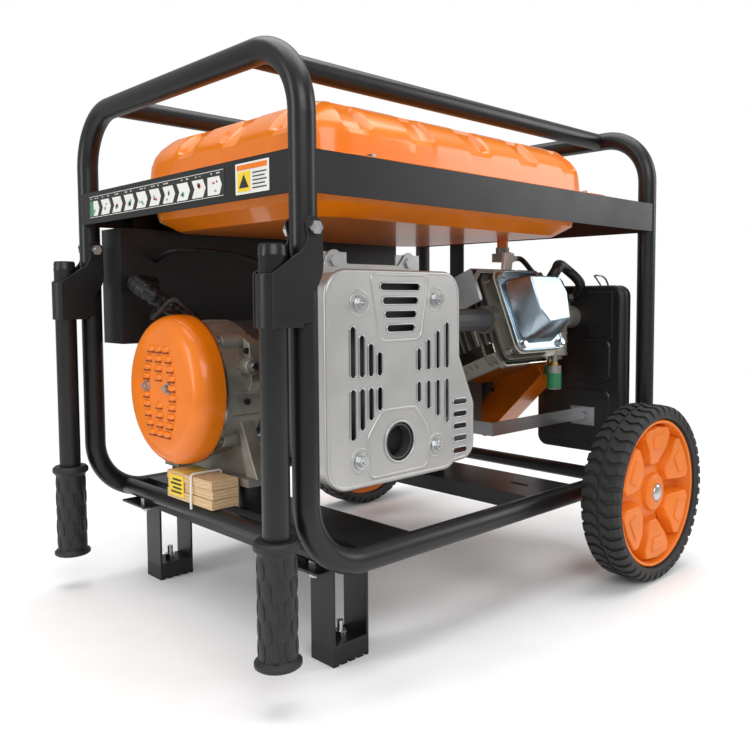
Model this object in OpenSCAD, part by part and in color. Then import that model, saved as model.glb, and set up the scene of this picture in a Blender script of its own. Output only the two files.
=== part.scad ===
// Open-frame portable generator: welded tube frame on two wheels and two rubber feet, with a
// fuel tank on top, a single-cylinder engine with its alternator, and a control panel.
// Lengths are millimetres. +X runs from the alternator end to the wheel end, +Z is up, and the
// exhaust side faces -Y. The origin lies on the ground, at the middle of the overall outline.

/* [Frame] */
// Distance between the post axes along the length
frame_l = 686; // [600:1:830]
// Distance between the post axes across the width
frame_w = 498; // [460:1:600]
// Height from the bottom tube axis to the top tube axis
frame_h = 540; // [500:1:650]
// Outside diameter of the main frame tube
tube_d = 28; // [22:0.5:34]
// Wall of every frame tube
tube_wall = 2; // [1.5:0.1:3]
// Bend radius of the main tube, to its axis
bend_r = 75; // [60:1:90]
// Outside diameter of the two long rails on top
rail_d = 26; // [20:0.5:27]
// Distance of each top rail from the middle
rail_y = 160; // [120:1:185]

/* [Tank rails] */
// Height of the sheet bands that carry the tank
band_h = 43; // [30:1:55]
// Drop from the top tube axis to the upper edge of the bands
band_drop = 110; // [95:1:125]
// Sheet thickness of the bands
band_t = 2; // [1.5:0.5:3]
// Width of the inward flange of the long bands
band_flange = 40; // [34:1:46]

/* [Wheels] */
// Outside diameter of the tyres
wheel_d = 255; // [220:1:306]
// Width of the tyres
wheel_w = 61; // [45:1:70]
// Distance from the post axis at the wheel end back to the axle
axle_back = 116; // [110:1:150]
// Diameter of the axle bolt shank
axle_d = 16; // [12:0.5:20]
// Gap between the frame tube and the wheel
wheel_gap = 20; // [10:1:30]
// Diameter of the rim where the tyre seats
rim_d = 215; // [190:1:220]

/* [Carrying handles] */
// Outboard distance from the post axis to the handle tube axis
handle_off = 37; // [34:0.5:48]
// Height of the handle pivot above the bottom tube axis
pivot_z = 352; // [330:1:365]
// Diameter of the pivot bolt shank
pivot_d = 8; // [6:0.5:10]
// Length of the rubber grip
grip_l = 127; // [100:1:150]
// Diameter of the rubber grip
grip_d = 40; // [34:0.5:44]
// Diameter of the grip's end flanges
grip_flange_d = 48; // [44:0.5:50]
// Height of the grip's lower end above the ground
grip_low = 47; // [30:1:70]

/* [Feet] */
// Length of a rubber foot pad along X
pad_x = 52; // [40:1:64]
// Width of a rubber foot pad along Y
pad_y = 40; // [30:1:50]
// Height of a rubber foot pad
pad_h = 21; // [15:1:28]
// Sheet thickness of the foot brackets
foot_t = 3; // [2:0.5:4]

/* [Fuel tank] */
// Height of the upper shell above its seam
tank_up = 74; // [55:1:85]
// Depth of the lower shell below its seam
tank_down = 58; // [40:1:66]
// Width of the seam flange around the shells
seam_w = 30; // [20:1:34]
// Sheet thickness of the tank
tank_t = 1.2; // [0.8:0.1:2]
// Radius of the filler neck's bore
filler_r = 27; // [20:0.5:32]

/* [Power unit] */
// Distance of the crank axis from the middle, towards the panel side
crank_y = 75; // [60:1:90]
// Height of the crank axis above the bottom tube axis
crank_z = 163; // [155:1:180]
// Rise of the cylinder above horizontal, in degrees
cyl_tilt = 22; // [15:1:30]
// Cylinder bore diameter
bore_d = 88; // [70:1:92]
// Piston stroke
stroke = 64; // [50:1:64]
// Distance from the crank axis to the head joint
deck_r = 205; // [195:1:215]
// Length of the stator core
stator_l = 150; // [120:1:170]
// Outside diameter of the stator core
stator_d = 172; // [150:1:178]
// Radial air gap between the rotor and the stator
air_gap = 0.6; // [0.4:0.1:1]
// Outside diameter of the louvred end cover
cover_d = 198; // [185:1:205]

/* [Exhaust] */
// Width of the heat shield along X, without its lower bulge
shield_l = 210; // [190:1:225]
// Height of the heat shield
shield_h = 240; // [220:1:250]
// Reach of the bulge past the shield's straight edge
shield_bulge = 28; // [15:1:32]
// Sheet thickness of the heat shield
shield_t = 1.5; // [1:0.1:2.5]
// Inside radius of the outlet pipe
outlet_r = 19; // [15:0.5:20]

/* [Control panel] */
// Length of the control panel
panel_l = 540; // [440:1:560]
// Depth of the box behind the panel face
panel_depth = 60; // [45:1:70]

/* [Hidden] */
$fn = 64;
eps = 0.01;
run_fit = 0.05;   // radial clearance of a running fit
part_gap = 0.5;   // gap between pieces that lie close and move apart

post_x = frame_l / 2;
post_y = frame_w / 2;
tube_r = tube_d / 2;
axle_x = post_x - axle_back;
ground_z = -wheel_d / 2;
wheel_in = post_y + tube_r + wheel_gap;
wheel_out = wheel_in + wheel_w;
handle_x = -post_x - handle_off;
x_low = handle_x - grip_flange_d / 2;
x_high = max(post_x + tube_r, axle_x + wheel_d / 2);

// tank rails
band_top = frame_h - band_drop;
band_bottom = band_top - band_h;
band_out = tube_r - 1.4;          // outer face of a band, from the post axis

// carrying handles
handle_top = pivot_z - 16;
grip_bottom = ground_z + grip_low;
ear_t = 3;
ear_in = tube_r + part_gap;

// crossmembers
cross_top = tube_r - 2;
cross_t = 3;
alt_cross_x = [-post_x + bend_r + 1, -post_x + bend_r + 81];
eng_cross_x = [40, 142];
end_tube_x = -post_x + 44;
foot_plate_z = -tube_r - foot_t;
foot_x = -post_x + 60 + pad_x / 2;
foot_y = post_y - 52;

// fuel tank: it sits on rubber pads on the long bands
tank_pad_h = 4;
seam_z = band_top + tank_pad_h + tank_t;
tank_xl = -post_x + 50;
tank_xh = post_x - 86;
tank_yh = post_y - 44;
flange_yh = tank_yh + seam_w + 5;
tank_r = 55;
tank_bolt_x = [tank_xl + 60, tank_xh - 60];
tank_bolt_y = post_y - 20;
cap_x = -10;
cap_y = 0;
cap_r = 37;
neck_h = 14;
tap_x = tank_xh - 44;
tap_y = -60;
tank_low = seam_z - tank_down;
tap_top = tank_low - 12;

// power unit, from the alternator end to the recoil starter
unit_x = -post_x + 10;
cover_depth = 40;
bracket_x = unit_x + cover_depth;
bracket_l = 60;
stator_x = bracket_x + bracket_l;
bell_x = stator_x + stator_l;
case_x = [bell_x + 142, bell_x + 307];
cyl_x = case_x[0] + 74;
bell_l = case_x[0] - bell_x;
shaft_r = 17.5;
throw_r = stroke / 2;
rod_l = 132;
pin_r = 13;
chamber_r = 66;
fan_x = case_x[1];
fan_l = 52;
fly_r = 92;
housing_r = 108;
recoil_l = 28;
recoil_x = fan_x + fan_l;
unit_foot_z = 42;
head_t = 62;
flange_r = deck_r + head_t;
vc_w = 112;       // valve cover across X
vc_h = 126;       // valve cover up the slope
vc_t = 45;        // valve cover along the cylinder
vc_bolt = [91, 108];

// exhaust, beside the alternator
shield_y = crank_y - 297;
shield_x = unit_x + 42;
shield_z = 72;
shield_c = [shield_x + 107, 115];
muff_x = [shield_x + 14, shield_x + shield_l - 12];
muff_y = [shield_y + 16, shield_y + 118];
muff_z = [88, 300];
shield_bolts = [[46, 205], [170, 209], [46, 28], [170, 30]];

// air intake, beside the cylinder head
box_x = [fan_x + 68, fan_x + 102];
box_y = [crank_y - 309, crank_y - 150];
box_z = [30, 302];
carb_y = crank_y - 250;
carb_z = 236;

// control panel on the far side, under its tank rail
panel_x = [-post_x + 22, -post_x + 22 + panel_l];
panel_z = [band_bottom - 168, band_bottom - 4];
panel_face_y = post_y + 10;
panel_y = panel_face_y - panel_depth;
socket_r = 28;
socket_x = [panel_x[0] + 300, panel_x[0] + 375];
socket_z = panel_z[0] + 70;
socket_out = 12;
lid_t = 4;
breaker_x = panel_x[0] + 230;
meter_x = panel_x[0] + 150;
switch_x = panel_x[0] + 60;
earth_x = panel_x[0] + 440;

// recoil starter rope
rope_dir = 150;   // angle of the pull, from -Y over the top towards +Y
rope_r = 2.5;
rope_l = 124;

// ---------------------------------------------------------------- shared shapes

// Frame coordinates (z = 0 on the bottom tube axis) to model coordinates
module place() translate([-(x_low + x_high) / 2, 0, -ground_z]) children();

module near_side() mirror([0, 1, 0]) children();

module x_cyl(r, x0, x1) translate([x0, 0, 0]) rotate([0, 90, 0]) cylinder(r = r, h = x1 - x0);

module y_cyl(r, y0, y1) translate([0, y0, 0]) rotate([-90, 0, 0]) cylinder(r = r, h = y1 - y0);

module box(lo, hi) translate(lo) cube(hi - lo);

module rounded(l, w, r) {
    square([l - 2 * r, w], center = true);
    square([l, w - 2 * r], center = true);
    for (i = [-1, 1], j = [-1, 1]) translate([i * (l / 2 - r), j * (w / 2 - r)]) circle(r);
}

module stadium(a, b, r) {
    d = b - a;
    len = norm(d);
    translate(a) rotate(atan2(d[1], d[0])) {
        translate([0, -r]) square([len, 2 * r]);
        circle(r);
        translate([len, 0]) circle(r);
    }
}

// A 2D outline in X and Z, given depth along +Y from y0
module xz_extrude(y0, depth) translate([0, y0 + depth, 0]) rotate([90, 0, 0])
    linear_extrude(depth) children();

// A 2D outline in Y and Z, given depth along +X from x0
module yz_extrude(x0, depth) translate([x0, 0, 0]) rotate([90, 0, 90])
    linear_extrude(depth) children();

module hex_bolt(d, head_h, shank_l) {
    cylinder(r = d * 0.95, h = head_h, $fn = 6);
    translate([0, 0, -shank_l]) cylinder(d = d, h = shank_l + eps);
}

function unit(v) = v / norm(v);

// Catmull-Rom points through a short list, n steps to a span
function smooth_path(p, n) = concat([for (i = [0 : len(p) - 2], k = [0 : n - 1])
    let (a = p[max(i - 1, 0)], b = p[i], c = p[i + 1], d = p[min(i + 2, len(p) - 1)], t = k / n)
    0.5 * (2 * b + (c - a) * t + (2 * a - 5 * b + 4 * c - d) * t * t
        + (3 * b - a - 3 * c + d) * t * t * t)], [p[len(p) - 1]]);

// A round hose swept along points; it never runs parallel to the reference vector up
module hose(points, d, up, sides = 12) {
    path = smooth_path(points, 4);
    last = len(path) - 1;
    rings = [for (i = [0 : last])
        let (t = unit(path[min(i + 1, last)] - path[max(i - 1, 0)]), u = unit(cross(up, t)),
            v = cross(t, u))
        for (k = [0 : sides - 1]) path[i] + d / 2 * (cos(360 * k / sides) * u
            + sin(360 * k / sides) * v)];
    walls = [for (i = [0 : last - 1], k = [0 : sides - 1])
        let (a = i * sides + k, b = i * sides + (k + 1) % sides)
        [a, a + sides, b + sides, b]];
    caps = [[for (k = [0 : sides - 1]) k], [for (k = [sides - 1 : -1 : 0]) last * sides + k]];
    polyhedron(rings, concat(walls, caps));
}

// ---------------------------------------------------------------- frame

// Centre line of the hoop at -X: bottom bends, posts, top bends and the top tube
module hoop_shape(d) {
    translate([-post_x, 0, frame_h]) y_cyl(d / 2, -post_y + bend_r, post_y - bend_r);
    for (s = [0, 1]) mirror([0, s, 0]) {
        translate([-post_x, post_y, bend_r]) cylinder(d = d, h = frame_h - 2 * bend_r);
        translate([-post_x, post_y - bend_r, frame_h - bend_r]) rotate([90, 0, 90])
            rotate_extrude(angle = 90) translate([bend_r, 0]) circle(d = d);
        low_bend(d);
    }
}

module low_bend(d) translate([-post_x + bend_r, post_y, bend_r]) rotate([90, 0, 0])
    rotate([0, 0, 180]) rotate_extrude(angle = 90) translate([bend_r, 0]) circle(d = d);

module hoop_tube() difference() {
    hoop_shape(tube_d);
    hoop_shape(tube_d - 2 * tube_wall);
}

module frame_left_hoop() color("#1b1c1e") place() difference() {
    hoop_tube();
    for (s = [-1, 1]) translate([-post_x, 0, pivot_z])
        y_cyl(pivot_d / 2 + 0.3, s * post_y - tube_d, s * post_y + tube_d);
}

stay_y = 150;
stay_w = 34;
module frame_right_hoop() color("#1b1c1e") place() {
    mirror([1, 0, 0]) hoop_tube();
    translate([post_x - bend_r, 0, 0]) difference() {
        y_cyl(11, -post_y, post_y);
        y_cyl(11 - tube_wall, -post_y, post_y);
        for (s = [-1, 1]) translate([0, s * post_y, 0]) {
            x_cyl(tube_r, -tube_d, 0);
            x_cyl(tube_r - 1, -eps, tube_d);
        }
    }
    box([post_x - bend_r - 8, stay_y - stay_w / 2, 9], [post_x - 5, stay_y + stay_w / 2, 12]);
    box([post_x - 8, stay_y - stay_w / 2, 12 - eps],
        [post_x - 5, stay_y + stay_w / 2, band_top - band_t]);
}

module bottom_tubes() color("#1b1c1e") place() for (s = [-1, 1]) difference() {
    union() {
        difference() {
            translate([0, s * post_y, 0]) x_cyl(tube_r, -post_x + bend_r, post_x - bend_r);
            translate([0, s * post_y, 0])
                x_cyl(tube_r - tube_wall, -post_x + bend_r, post_x - bend_r);
        }
        translate([axle_x, 0, 0]) y_cyl(axle_d / 2 + 3, s * post_y - tube_r - 2,
            s * post_y + tube_r + 2);
    }
    translate([axle_x, 0, 0]) y_cyl(axle_d / 2 + 0.3, s * post_y - tube_d, s * post_y + tube_d);
}

module top_rails() color("#1b1c1e") place() for (s = [-1, 1])
    translate([0, s * rail_y, frame_h]) difference() {
        x_cyl(rail_d / 2, -post_x, post_x);
        x_cyl(rail_d / 2 - tube_wall, -post_x, post_x);
        for (e = [-1, 1]) translate([e * post_x, 0, 0]) y_cyl(tube_r, -rail_d, rail_d);
    }

module posts() for (i = [-1, 1], j = [-1, 1])
    translate([i * post_x, j * post_y, 0]) cylinder(r = tube_r, h = frame_h);

module tank_rails() color("#17181a") place() difference() {
    union() {
        for (s = [0, 1]) mirror([0, s, 0]) {
            box([-post_x, post_y + band_out - band_t, band_bottom],
                [post_x, post_y + band_out, band_top]);
            box([-post_x + tube_r, post_y + band_out - band_flange, band_top - band_t],
                [post_x - tube_r, post_y + band_out - band_t + eps, band_top]);
        }
        for (s = [0, 1]) mirror([s, 0, 0]) {
            box([post_x + band_out - band_t, -post_y, band_bottom],
                [post_x + band_out, post_y, band_top]);
            box([post_x - tube_r + 1, -post_y + tube_r + 2, band_top - band_t],
                [post_x + band_out - band_t + eps, post_y - tube_r - 2, band_top]);
        }
    }
    posts();
    for (x = tank_bolt_x, s = [-1, 1]) translate([x, s * tank_bolt_y, band_top - 10])
        cylinder(d = 6.6, h = 20);
}

// An upside-down channel across the frame, welded to both bottom tubes
module channel(x0, x1) difference() {
    union() {
        box([x0, -post_y, cross_top - cross_t], [x1, post_y, cross_top]);
        for (x = [x0, x1 - cross_t])
            box([x, -post_y + 2, -tube_r + 4], [x + cross_t, post_y - 2, cross_top - eps]);
    }
    for (s = [-1, 1]) translate([0, s * post_y, 0]) x_cyl(tube_r, x0 - tube_d, x1 + tube_d);
}

mount_y = [crank_y - 88, crank_y + 88];
eng_mount_x = eng_cross_x[0] + 51;
alt_mount_x = alt_cross_x[0] + 22;
foot_hole_x = [foot_x - pad_x / 2 - 10, foot_x + pad_x / 2 + 10];

module alternator_crossmember() color("#1b1c1e") place() difference() {
    union() {
        channel(alt_cross_x[0], alt_cross_x[1]);
        difference() {
            translate([end_tube_x, 0, 6]) y_cyl(11, -post_y, post_y);
            translate([end_tube_x, 0, 6]) y_cyl(11 - tube_wall, -post_y, post_y);
            for (s = [0, 1]) mirror([0, s, 0]) low_bend(tube_d);
        }
        for (s = [-1, 1]) {
            box([end_tube_x - 14, s * foot_y - pad_y / 2 - 12, -tube_r],
                [alt_cross_x[1], s * foot_y + pad_y / 2 + 14, -tube_r + foot_t]);
            for (x = [alt_cross_x[0], alt_cross_x[1] - cross_t])
                box([x, s * foot_y - pad_y / 2 - 12, -tube_r],
                    [x + cross_t, s * foot_y + pad_y / 2 + 14, cross_top - 1]);
        }
        box([end_tube_x - 1, -post_y + 60, -tube_r + eps], [end_tube_x + 2, post_y - 60, -3]);
    }
    for (y = mount_y) translate([alt_mount_x, y, 0]) cylinder(d = 8.6, h = 60);
    for (s = [-1, 1], x = foot_hole_x) translate([x, s * foot_y, -40]) cylinder(d = 8.6, h = 38);
    for (s = [-1, 1]) translate([0, 0, -40]) linear_extrude(38)
        stadium([foot_x - 8, s * foot_y], [foot_x + 8, s * foot_y], 5);
}

module engine_crossmember() color("#1b1c1e") place() difference() {
    channel(eng_cross_x[0], eng_cross_x[1]);
    for (y = mount_y) translate([eng_mount_x, y, 0]) cylinder(d = 8.6, h = 60);
    for (y = [-post_y + 60, post_y - 60]) linear_extrude(60)
        stadium([eng_mount_x, y - 12], [eng_mount_x, y + 12], 4.5);
}

// ---------------------------------------------------------------- feet

foot_low = ground_z + pad_h;
module foot_bracket() difference() {
    union() {
        for (s = [-1, 1]) translate([s * (pad_x / 2 - foot_t / 2), 0, 0])
            box([-foot_t / 2, -pad_y / 2, foot_low], [foot_t / 2, pad_y / 2, -tube_r]);
        box([-pad_x / 2, -pad_y / 2, foot_low], [pad_x / 2, pad_y / 2, foot_low + foot_t]);
        for (s = [0, 1]) mirror([s, 0, 0])
            box([pad_x / 2 - foot_t, -pad_y / 2, foot_plate_z], [pad_x / 2 + 22, pad_y / 2, -tube_r]);
    }
    translate([0, 0, foot_low - 1]) cylinder(d = 8.4, h = 10);
    for (x = foot_hole_x) translate([x - foot_x, 0, -40]) cylinder(d = 8.6, h = 38);
}

module foot_brackets() color("#1d1e20") place()
    for (s = [-1, 1]) translate([foot_x, s * foot_y, 0]) foot_bracket();

module foot_pads() color("#141414") place() for (s = [-1, 1]) translate([foot_x, s * foot_y, 0])
    difference() {
        box([-pad_x / 2, -pad_y / 2, ground_z], [pad_x / 2, pad_y / 2, foot_low]);
        for (x = [-pad_x / 2 + 8 : 12 : pad_x / 2 - 6])
            box([x, -pad_y, ground_z - 1], [x + 4, pad_y, ground_z + 3]);
        translate([0, 0, foot_low - 8]) cylinder(d = 8, h = 10);
    }

// ---------------------------------------------------------------- fasteners

module frame_bolts() color("#c9ccd0") place() {
    // handle pivots, through each post
    for (s = [0, 1]) mirror([0, s, 0]) translate([-post_x, post_y, pivot_z]) {
        y_cyl(pivot_d / 2, -ear_in - ear_t - 9, ear_in + ear_t + part_gap + eps);
        translate([0, ear_in + ear_t + part_gap, 0]) rotate([-90, 0, 0])
            cylinder(r = pivot_d * 0.9, h = 5, $fn = 6);
        translate([0, -ear_in - ear_t - part_gap, 0]) rotate([90, 0, 0])
            cylinder(r = pivot_d * 0.9, h = 6.5, $fn = 6);
    }
    // foot bolts with nuts, and the pad studs
    for (s = [-1, 1]) {
        for (x = foot_hole_x) translate([x, s * foot_y, -tube_r + foot_t]) {
            hex_bolt(8, 5, 2 * foot_t + 9);
            translate([0, 0, -2 * foot_t - 6.5]) cylinder(r = 7.6, h = 6.5, $fn = 6);
        }
        translate([foot_x, s * foot_y, foot_low - 8]) cylinder(d = 8, h = foot_t + 26);
        translate([foot_x, s * foot_y, foot_low + foot_t]) cylinder(r = 7.6, h = 6.5, $fn = 6);
    }
    // tank bolts
    for (x = tank_bolt_x, s = [-1, 1]) translate([x, s * tank_bolt_y, seam_z + tank_t])
        hex_bolt(6, 4, seam_z + tank_t - band_top + 12);
    // mount bolts under the power unit
    for (y = mount_y, x = [alt_mount_x, eng_mount_x]) {
        translate([x, y, unit_foot_z + 10]) hex_bolt(8, 5.5, 22);
        translate([x, y, cross_top - cross_t]) mirror([0, 0, 1]) hex_bolt(8, 5.5, 12);
    }
}

module axle_bolts() color("#b9bcc0") place() for (s = [0, 1]) mirror([0, s, 0])
    translate([axle_x, 0, 0]) {
        y_cyl(axle_d / 2, post_y - tube_r - 14, hub_out + 1.5);
        translate([0, post_y - tube_r - 2, 0]) rotate([90, 0, 0])
            cylinder(r = axle_d * 0.86, h = 10, $fn = 6);
        difference() {
            y_cyl(axle_d / 2 + 4, post_y + tube_r + 2, wheel_in - 1);
            y_cyl(axle_d / 2 - eps, post_y, wheel_in);
        }
        y_cyl(12.5, hub_out + 0.8, hub_out + 6);
    }

// ---------------------------------------------------------------- carrying handles

module handle() translate([0, post_y, 0]) {
    difference() {
        translate([handle_x, 0, grip_bottom + 8]) cylinder(d = tube_d, h = handle_top - grip_bottom - 8);
        translate([handle_x, 0, grip_bottom + 7])
            cylinder(d = tube_d - 2 * tube_wall, h = handle_top - grip_bottom - 11);
    }
    // folded bracket: two ears from the handle tube to the pivot, joined by a web
    difference() {
        union() {
            for (s = [0, 1]) mirror([0, s, 0]) xz_extrude(ear_in, ear_t) union() {
                polygon([[handle_x - tube_r, pivot_z - 98], [-post_x - 5, pivot_z - 92],
                    [-post_x + 2, pivot_z - 40], [-post_x + 10, pivot_z - 10],
                    [-post_x - 2, pivot_z + 12], [-post_x - 12, pivot_z],
                    [handle_x - 4, pivot_z - 26], [handle_x - tube_r, pivot_z - 45]]);
                translate([-post_x, pivot_z]) circle(12);
            }
            box([handle_x - tube_r - ear_t, -ear_in - ear_t, pivot_z - 98],
                [handle_x - tube_r + eps, ear_in + ear_t, pivot_z - 45]);
        }
        for (s = [-1, 1]) translate([-post_x, 0, pivot_z])
            y_cyl(pivot_d / 2 + run_fit, -ear_in - 10, ear_in + 10);
    }
    // spacers that close the ears onto the tube
    difference() {
        translate([0, 0, pivot_z - 80]) linear_extrude(20)
            translate([handle_x, 0]) square([tube_d * 0.6, 2 * ear_in + eps], center = true);
        translate([handle_x, 0, 0]) cylinder(d = tube_d - eps, h = frame_h);
    }
}

module grip() translate([handle_x, post_y, grip_bottom]) difference() {
    union() {
        cylinder(d = grip_d, h = grip_l);
        cylinder(d = grip_flange_d, h = 6);
        translate([0, 0, grip_l - 8]) cylinder(d = grip_flange_d, h = 6);
    }
    translate([0, 0, 8]) cylinder(d = tube_d, h = grip_l);
}

module handle_near() color("#1b1c1e") place() near_side() handle();
module grip_near() color("#2a2b2d") place() near_side() grip();
module handle_far() color("#1b1c1e") place() handle();
module grip_far() color("#2a2b2d") place() grip();

// ---------------------------------------------------------------- wheels

hub_r = 24;
hub_out = wheel_out - 15;
rim_w = 40;
rim_in = wheel_in + (wheel_w - rim_w) / 2;
module tyre() translate([axle_x, wheel_in, 0]) rotate([-90, 0, 0]) rotate_extrude() difference() {
    translate([(rim_d / 2 + wheel_d / 2) / 2 - 3, wheel_w / 2])
        rounded(wheel_d / 2 - rim_d / 2 + 6, wheel_w, 8);
    translate([0, (wheel_w - rim_w) / 2]) square([rim_d / 2, rim_w]);
}

module rim() translate([axle_x, 0, 0]) difference() {
    union() {
        difference() {
            y_cyl(rim_d / 2, rim_in, rim_in + rim_w);
            y_cyl(rim_d / 2 - 5, rim_in - 1, rim_in + rim_w + 1);
        }
        y_cyl(rim_d / 2 - 4, wheel_out - 34, wheel_out - 27);
        y_cyl(hub_r, wheel_in, hub_out);
        for (k = [0 : 5]) rotate([0, k * 60, 0])
            box([hub_r - 4, wheel_out - 28, -17], [rim_d / 2 - 4, wheel_out - 14, 17]);
    }
    y_cyl(axle_d / 2 + run_fit, wheel_in - 1, hub_out + 1);
}

module tyre_near() color("#1f2022") place() near_side() tyre();
module rim_near() color("#f07a1a") place() near_side() rim();
module tyre_far() color("#1f2022") place() tyre();
module rim_far() color("#f07a1a") place() rim();

// ---------------------------------------------------------------- fuel tank

module tank_slab(z, inset, r) translate([(tank_xl + tank_xh) / 2, 0, z]) linear_extrude(0.1)
    rounded(tank_xh - tank_xl - 2 * inset, 2 * tank_yh - 2 * inset, max(r - inset / 2, 8), $fn = 32);

module tank_top(t) {
    hull() { tank_slab(seam_z, t, tank_r); tank_slab(seam_z + tank_up * 0.6, t + 6, tank_r); }
    hull() {
        tank_slab(seam_z + tank_up * 0.6, t + 6, tank_r);
        tank_slab(seam_z + tank_up - t - 0.1, t + 34, tank_r);
    }
}

module tank_bottom(t) {
    hull() { tank_slab(seam_z - 0.1, t, tank_r); tank_slab(seam_z - tank_down * 0.75, t + 10, tank_r); }
    hull() {
        tank_slab(seam_z - tank_down * 0.75, t + 10, tank_r);
        tank_slab(seam_z - tank_down + t, t + 34, tank_r);
    }
}

module seam_flange(z) difference() {
    translate([(tank_xl + tank_xh) / 2, 0, z]) linear_extrude(tank_t) difference() {
        rounded(tank_xh - tank_xl + 36, 2 * flange_yh, tank_r);
        rounded(tank_xh - tank_xl - 4 * tank_t, 2 * tank_yh - 4 * tank_t, tank_r - 2 * tank_t);
    }
    for (x = tank_bolt_x, s = [-1, 1]) translate([x, s * tank_bolt_y, z - 5])
        cylinder(d = 6.6, h = 10);
}

module tank_upper() color("#f57c14") place() {
    seam_flange(seam_z);
    difference() {
        union() {
            tank_top(0);
            translate([cap_x, cap_y, seam_z + tank_up - 4]) cylinder(r = filler_r + 2, h = 4 + neck_h);
        }
        translate([0, 0, -0.2]) tank_top(tank_t);
        translate([cap_x, cap_y, seam_z + tank_up - 20]) cylinder(r = filler_r, h = 60);
    }
}

module tank_lower() color("#f57c14") place() {
    seam_flange(seam_z - tank_t);
    difference() {
        union() {
            tank_bottom(0);
            translate([tap_x, tap_y, tap_top]) cylinder(r = 9, h = seam_z - tank_down - tap_top + 3);
        }
        translate([0, 0, 0.2]) tank_bottom(tank_t);
        translate([tap_x, tap_y, tap_top - 1]) cylinder(r = 4, h = 40);
    }
}

cap_z = seam_z + tank_up + 1;
module fuel_cap() color("#1c1c1c") place() translate([cap_x, cap_y, cap_z]) difference() {
    union() {
        cylinder(r = cap_r, h = neck_h + 8);
        for (k = [0 : 5]) rotate(60 * k) translate([cap_r - 1, -5, 0]) cube([4, 10, neck_h + 4]);
        translate([-cap_r + 6, -6, neck_h + 8 - eps]) cube([2 * cap_r - 12, 12, 6]);
    }
    translate([0, 0, -1]) cylinder(r = filler_r + 2.5, h = neck_h + 2);
}

module fuel_tap() color("#8d9096") place() translate([tap_x, tap_y, tap_top]) {
    difference() {
        union() {
            translate([0, 0, -10]) cylinder(r = 11, h = 10);
            box([-15, -10, -24], [19, 10, -10 + eps]);
        }
        translate([0, 0, -17]) cylinder(r = 4, h = 18);
        translate([0, 0, -17]) y_cyl(4 + run_fit, -12, -2);
    }
    difference() {
        translate([0, 0, -17]) x_cyl(4.5, 19 - eps, 36);
        translate([0, 0, -17]) x_cyl(2.5, 18, 37);
    }
}

module fuel_tap_lever() color("#222222") place() translate([tap_x, tap_y, tap_top - 17]) {
    y_cyl(4, -16, -3);
    y_cyl(9, -16, -11.5);
    box([-3.5, -16, -24], [3.5, -12, -5]);
}

// ---------------------------------------------------------------- hoses and the cable harness

module hoses() color("#181818") place() {
    up_y = [0, 1, 0];
    hose([[tap_x + 34, tap_y, tap_top - 17], [tap_x + 48, tap_y - 6, tap_top - 20],
        [tap_x + 44, port_y + 42, port_z + 62], [tap_x + 22, port_y + 2, port_z + 46],
        [port_x + 28, port_y - 4, port_z + 19]], 9, [1, 0.2, 0.1]);
    hose([head_point([34, 40, 14]), head_point([60, 52, 24]), [box_x[0] - 10, carb_y + 12, carb_z + 56],
        [box_x[0] + 1, carb_y + 24, carb_z + 50]], 15, [0, 0, 1]);
    hose([[unit_x + 60, panel_y + 1, panel_z[0] + 84], [unit_x + 20, panel_y - 30, panel_z[0] + 86],
        [unit_x + 14, panel_y - 70, panel_z[0] + 74], [unit_x + 50, crank_y + 40, crank_z + 104],
        [unit_x + 74, crank_y + 18, crank_z + 84]], 24, up_y + [1, 0, 0]);
}

// ---------------------------------------------------------------- rubber mounts

module rubber_mounts() color("#161616") place() {
    for (x = [alt_mount_x, eng_mount_x], y = mount_y) translate([x, y, cross_top])
        difference() {
            cylinder(r = 21, h = unit_foot_z - cross_top);
            translate([0, 0, -1]) cylinder(d = 8, h = 60);
        }
    for (x = tank_bolt_x, s = [-1, 1]) translate([x, s * tank_bolt_y, band_top])
        difference() {
            cylinder(r = 11, h = tank_pad_h);
            translate([0, 0, -1]) cylinder(d = 6.6, h = 10);
        }
}

// ---------------------------------------------------------------- engine

// Local +Z runs out along the cylinder and local +Y up the slope of the head
module along_cylinder() translate([cyl_x, crank_y, crank_z]) rotate([90 - cyl_tilt, 0, 0]) children();

// The same place for a point given from the middle of the head's outer face
function head_point(p) = let (r = flange_r + p[2])
    [cyl_x + p[0], crank_y - r * cos(cyl_tilt) + p[1] * sin(cyl_tilt),
        crank_z + r * sin(cyl_tilt) + p[1] * cos(cyl_tilt)];

cam_r = 40;
gear_r = 20;
cam_y = gear_r + cam_r + 0.4;
module crank_axis() translate([0, crank_y, crank_z]) children();

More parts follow.
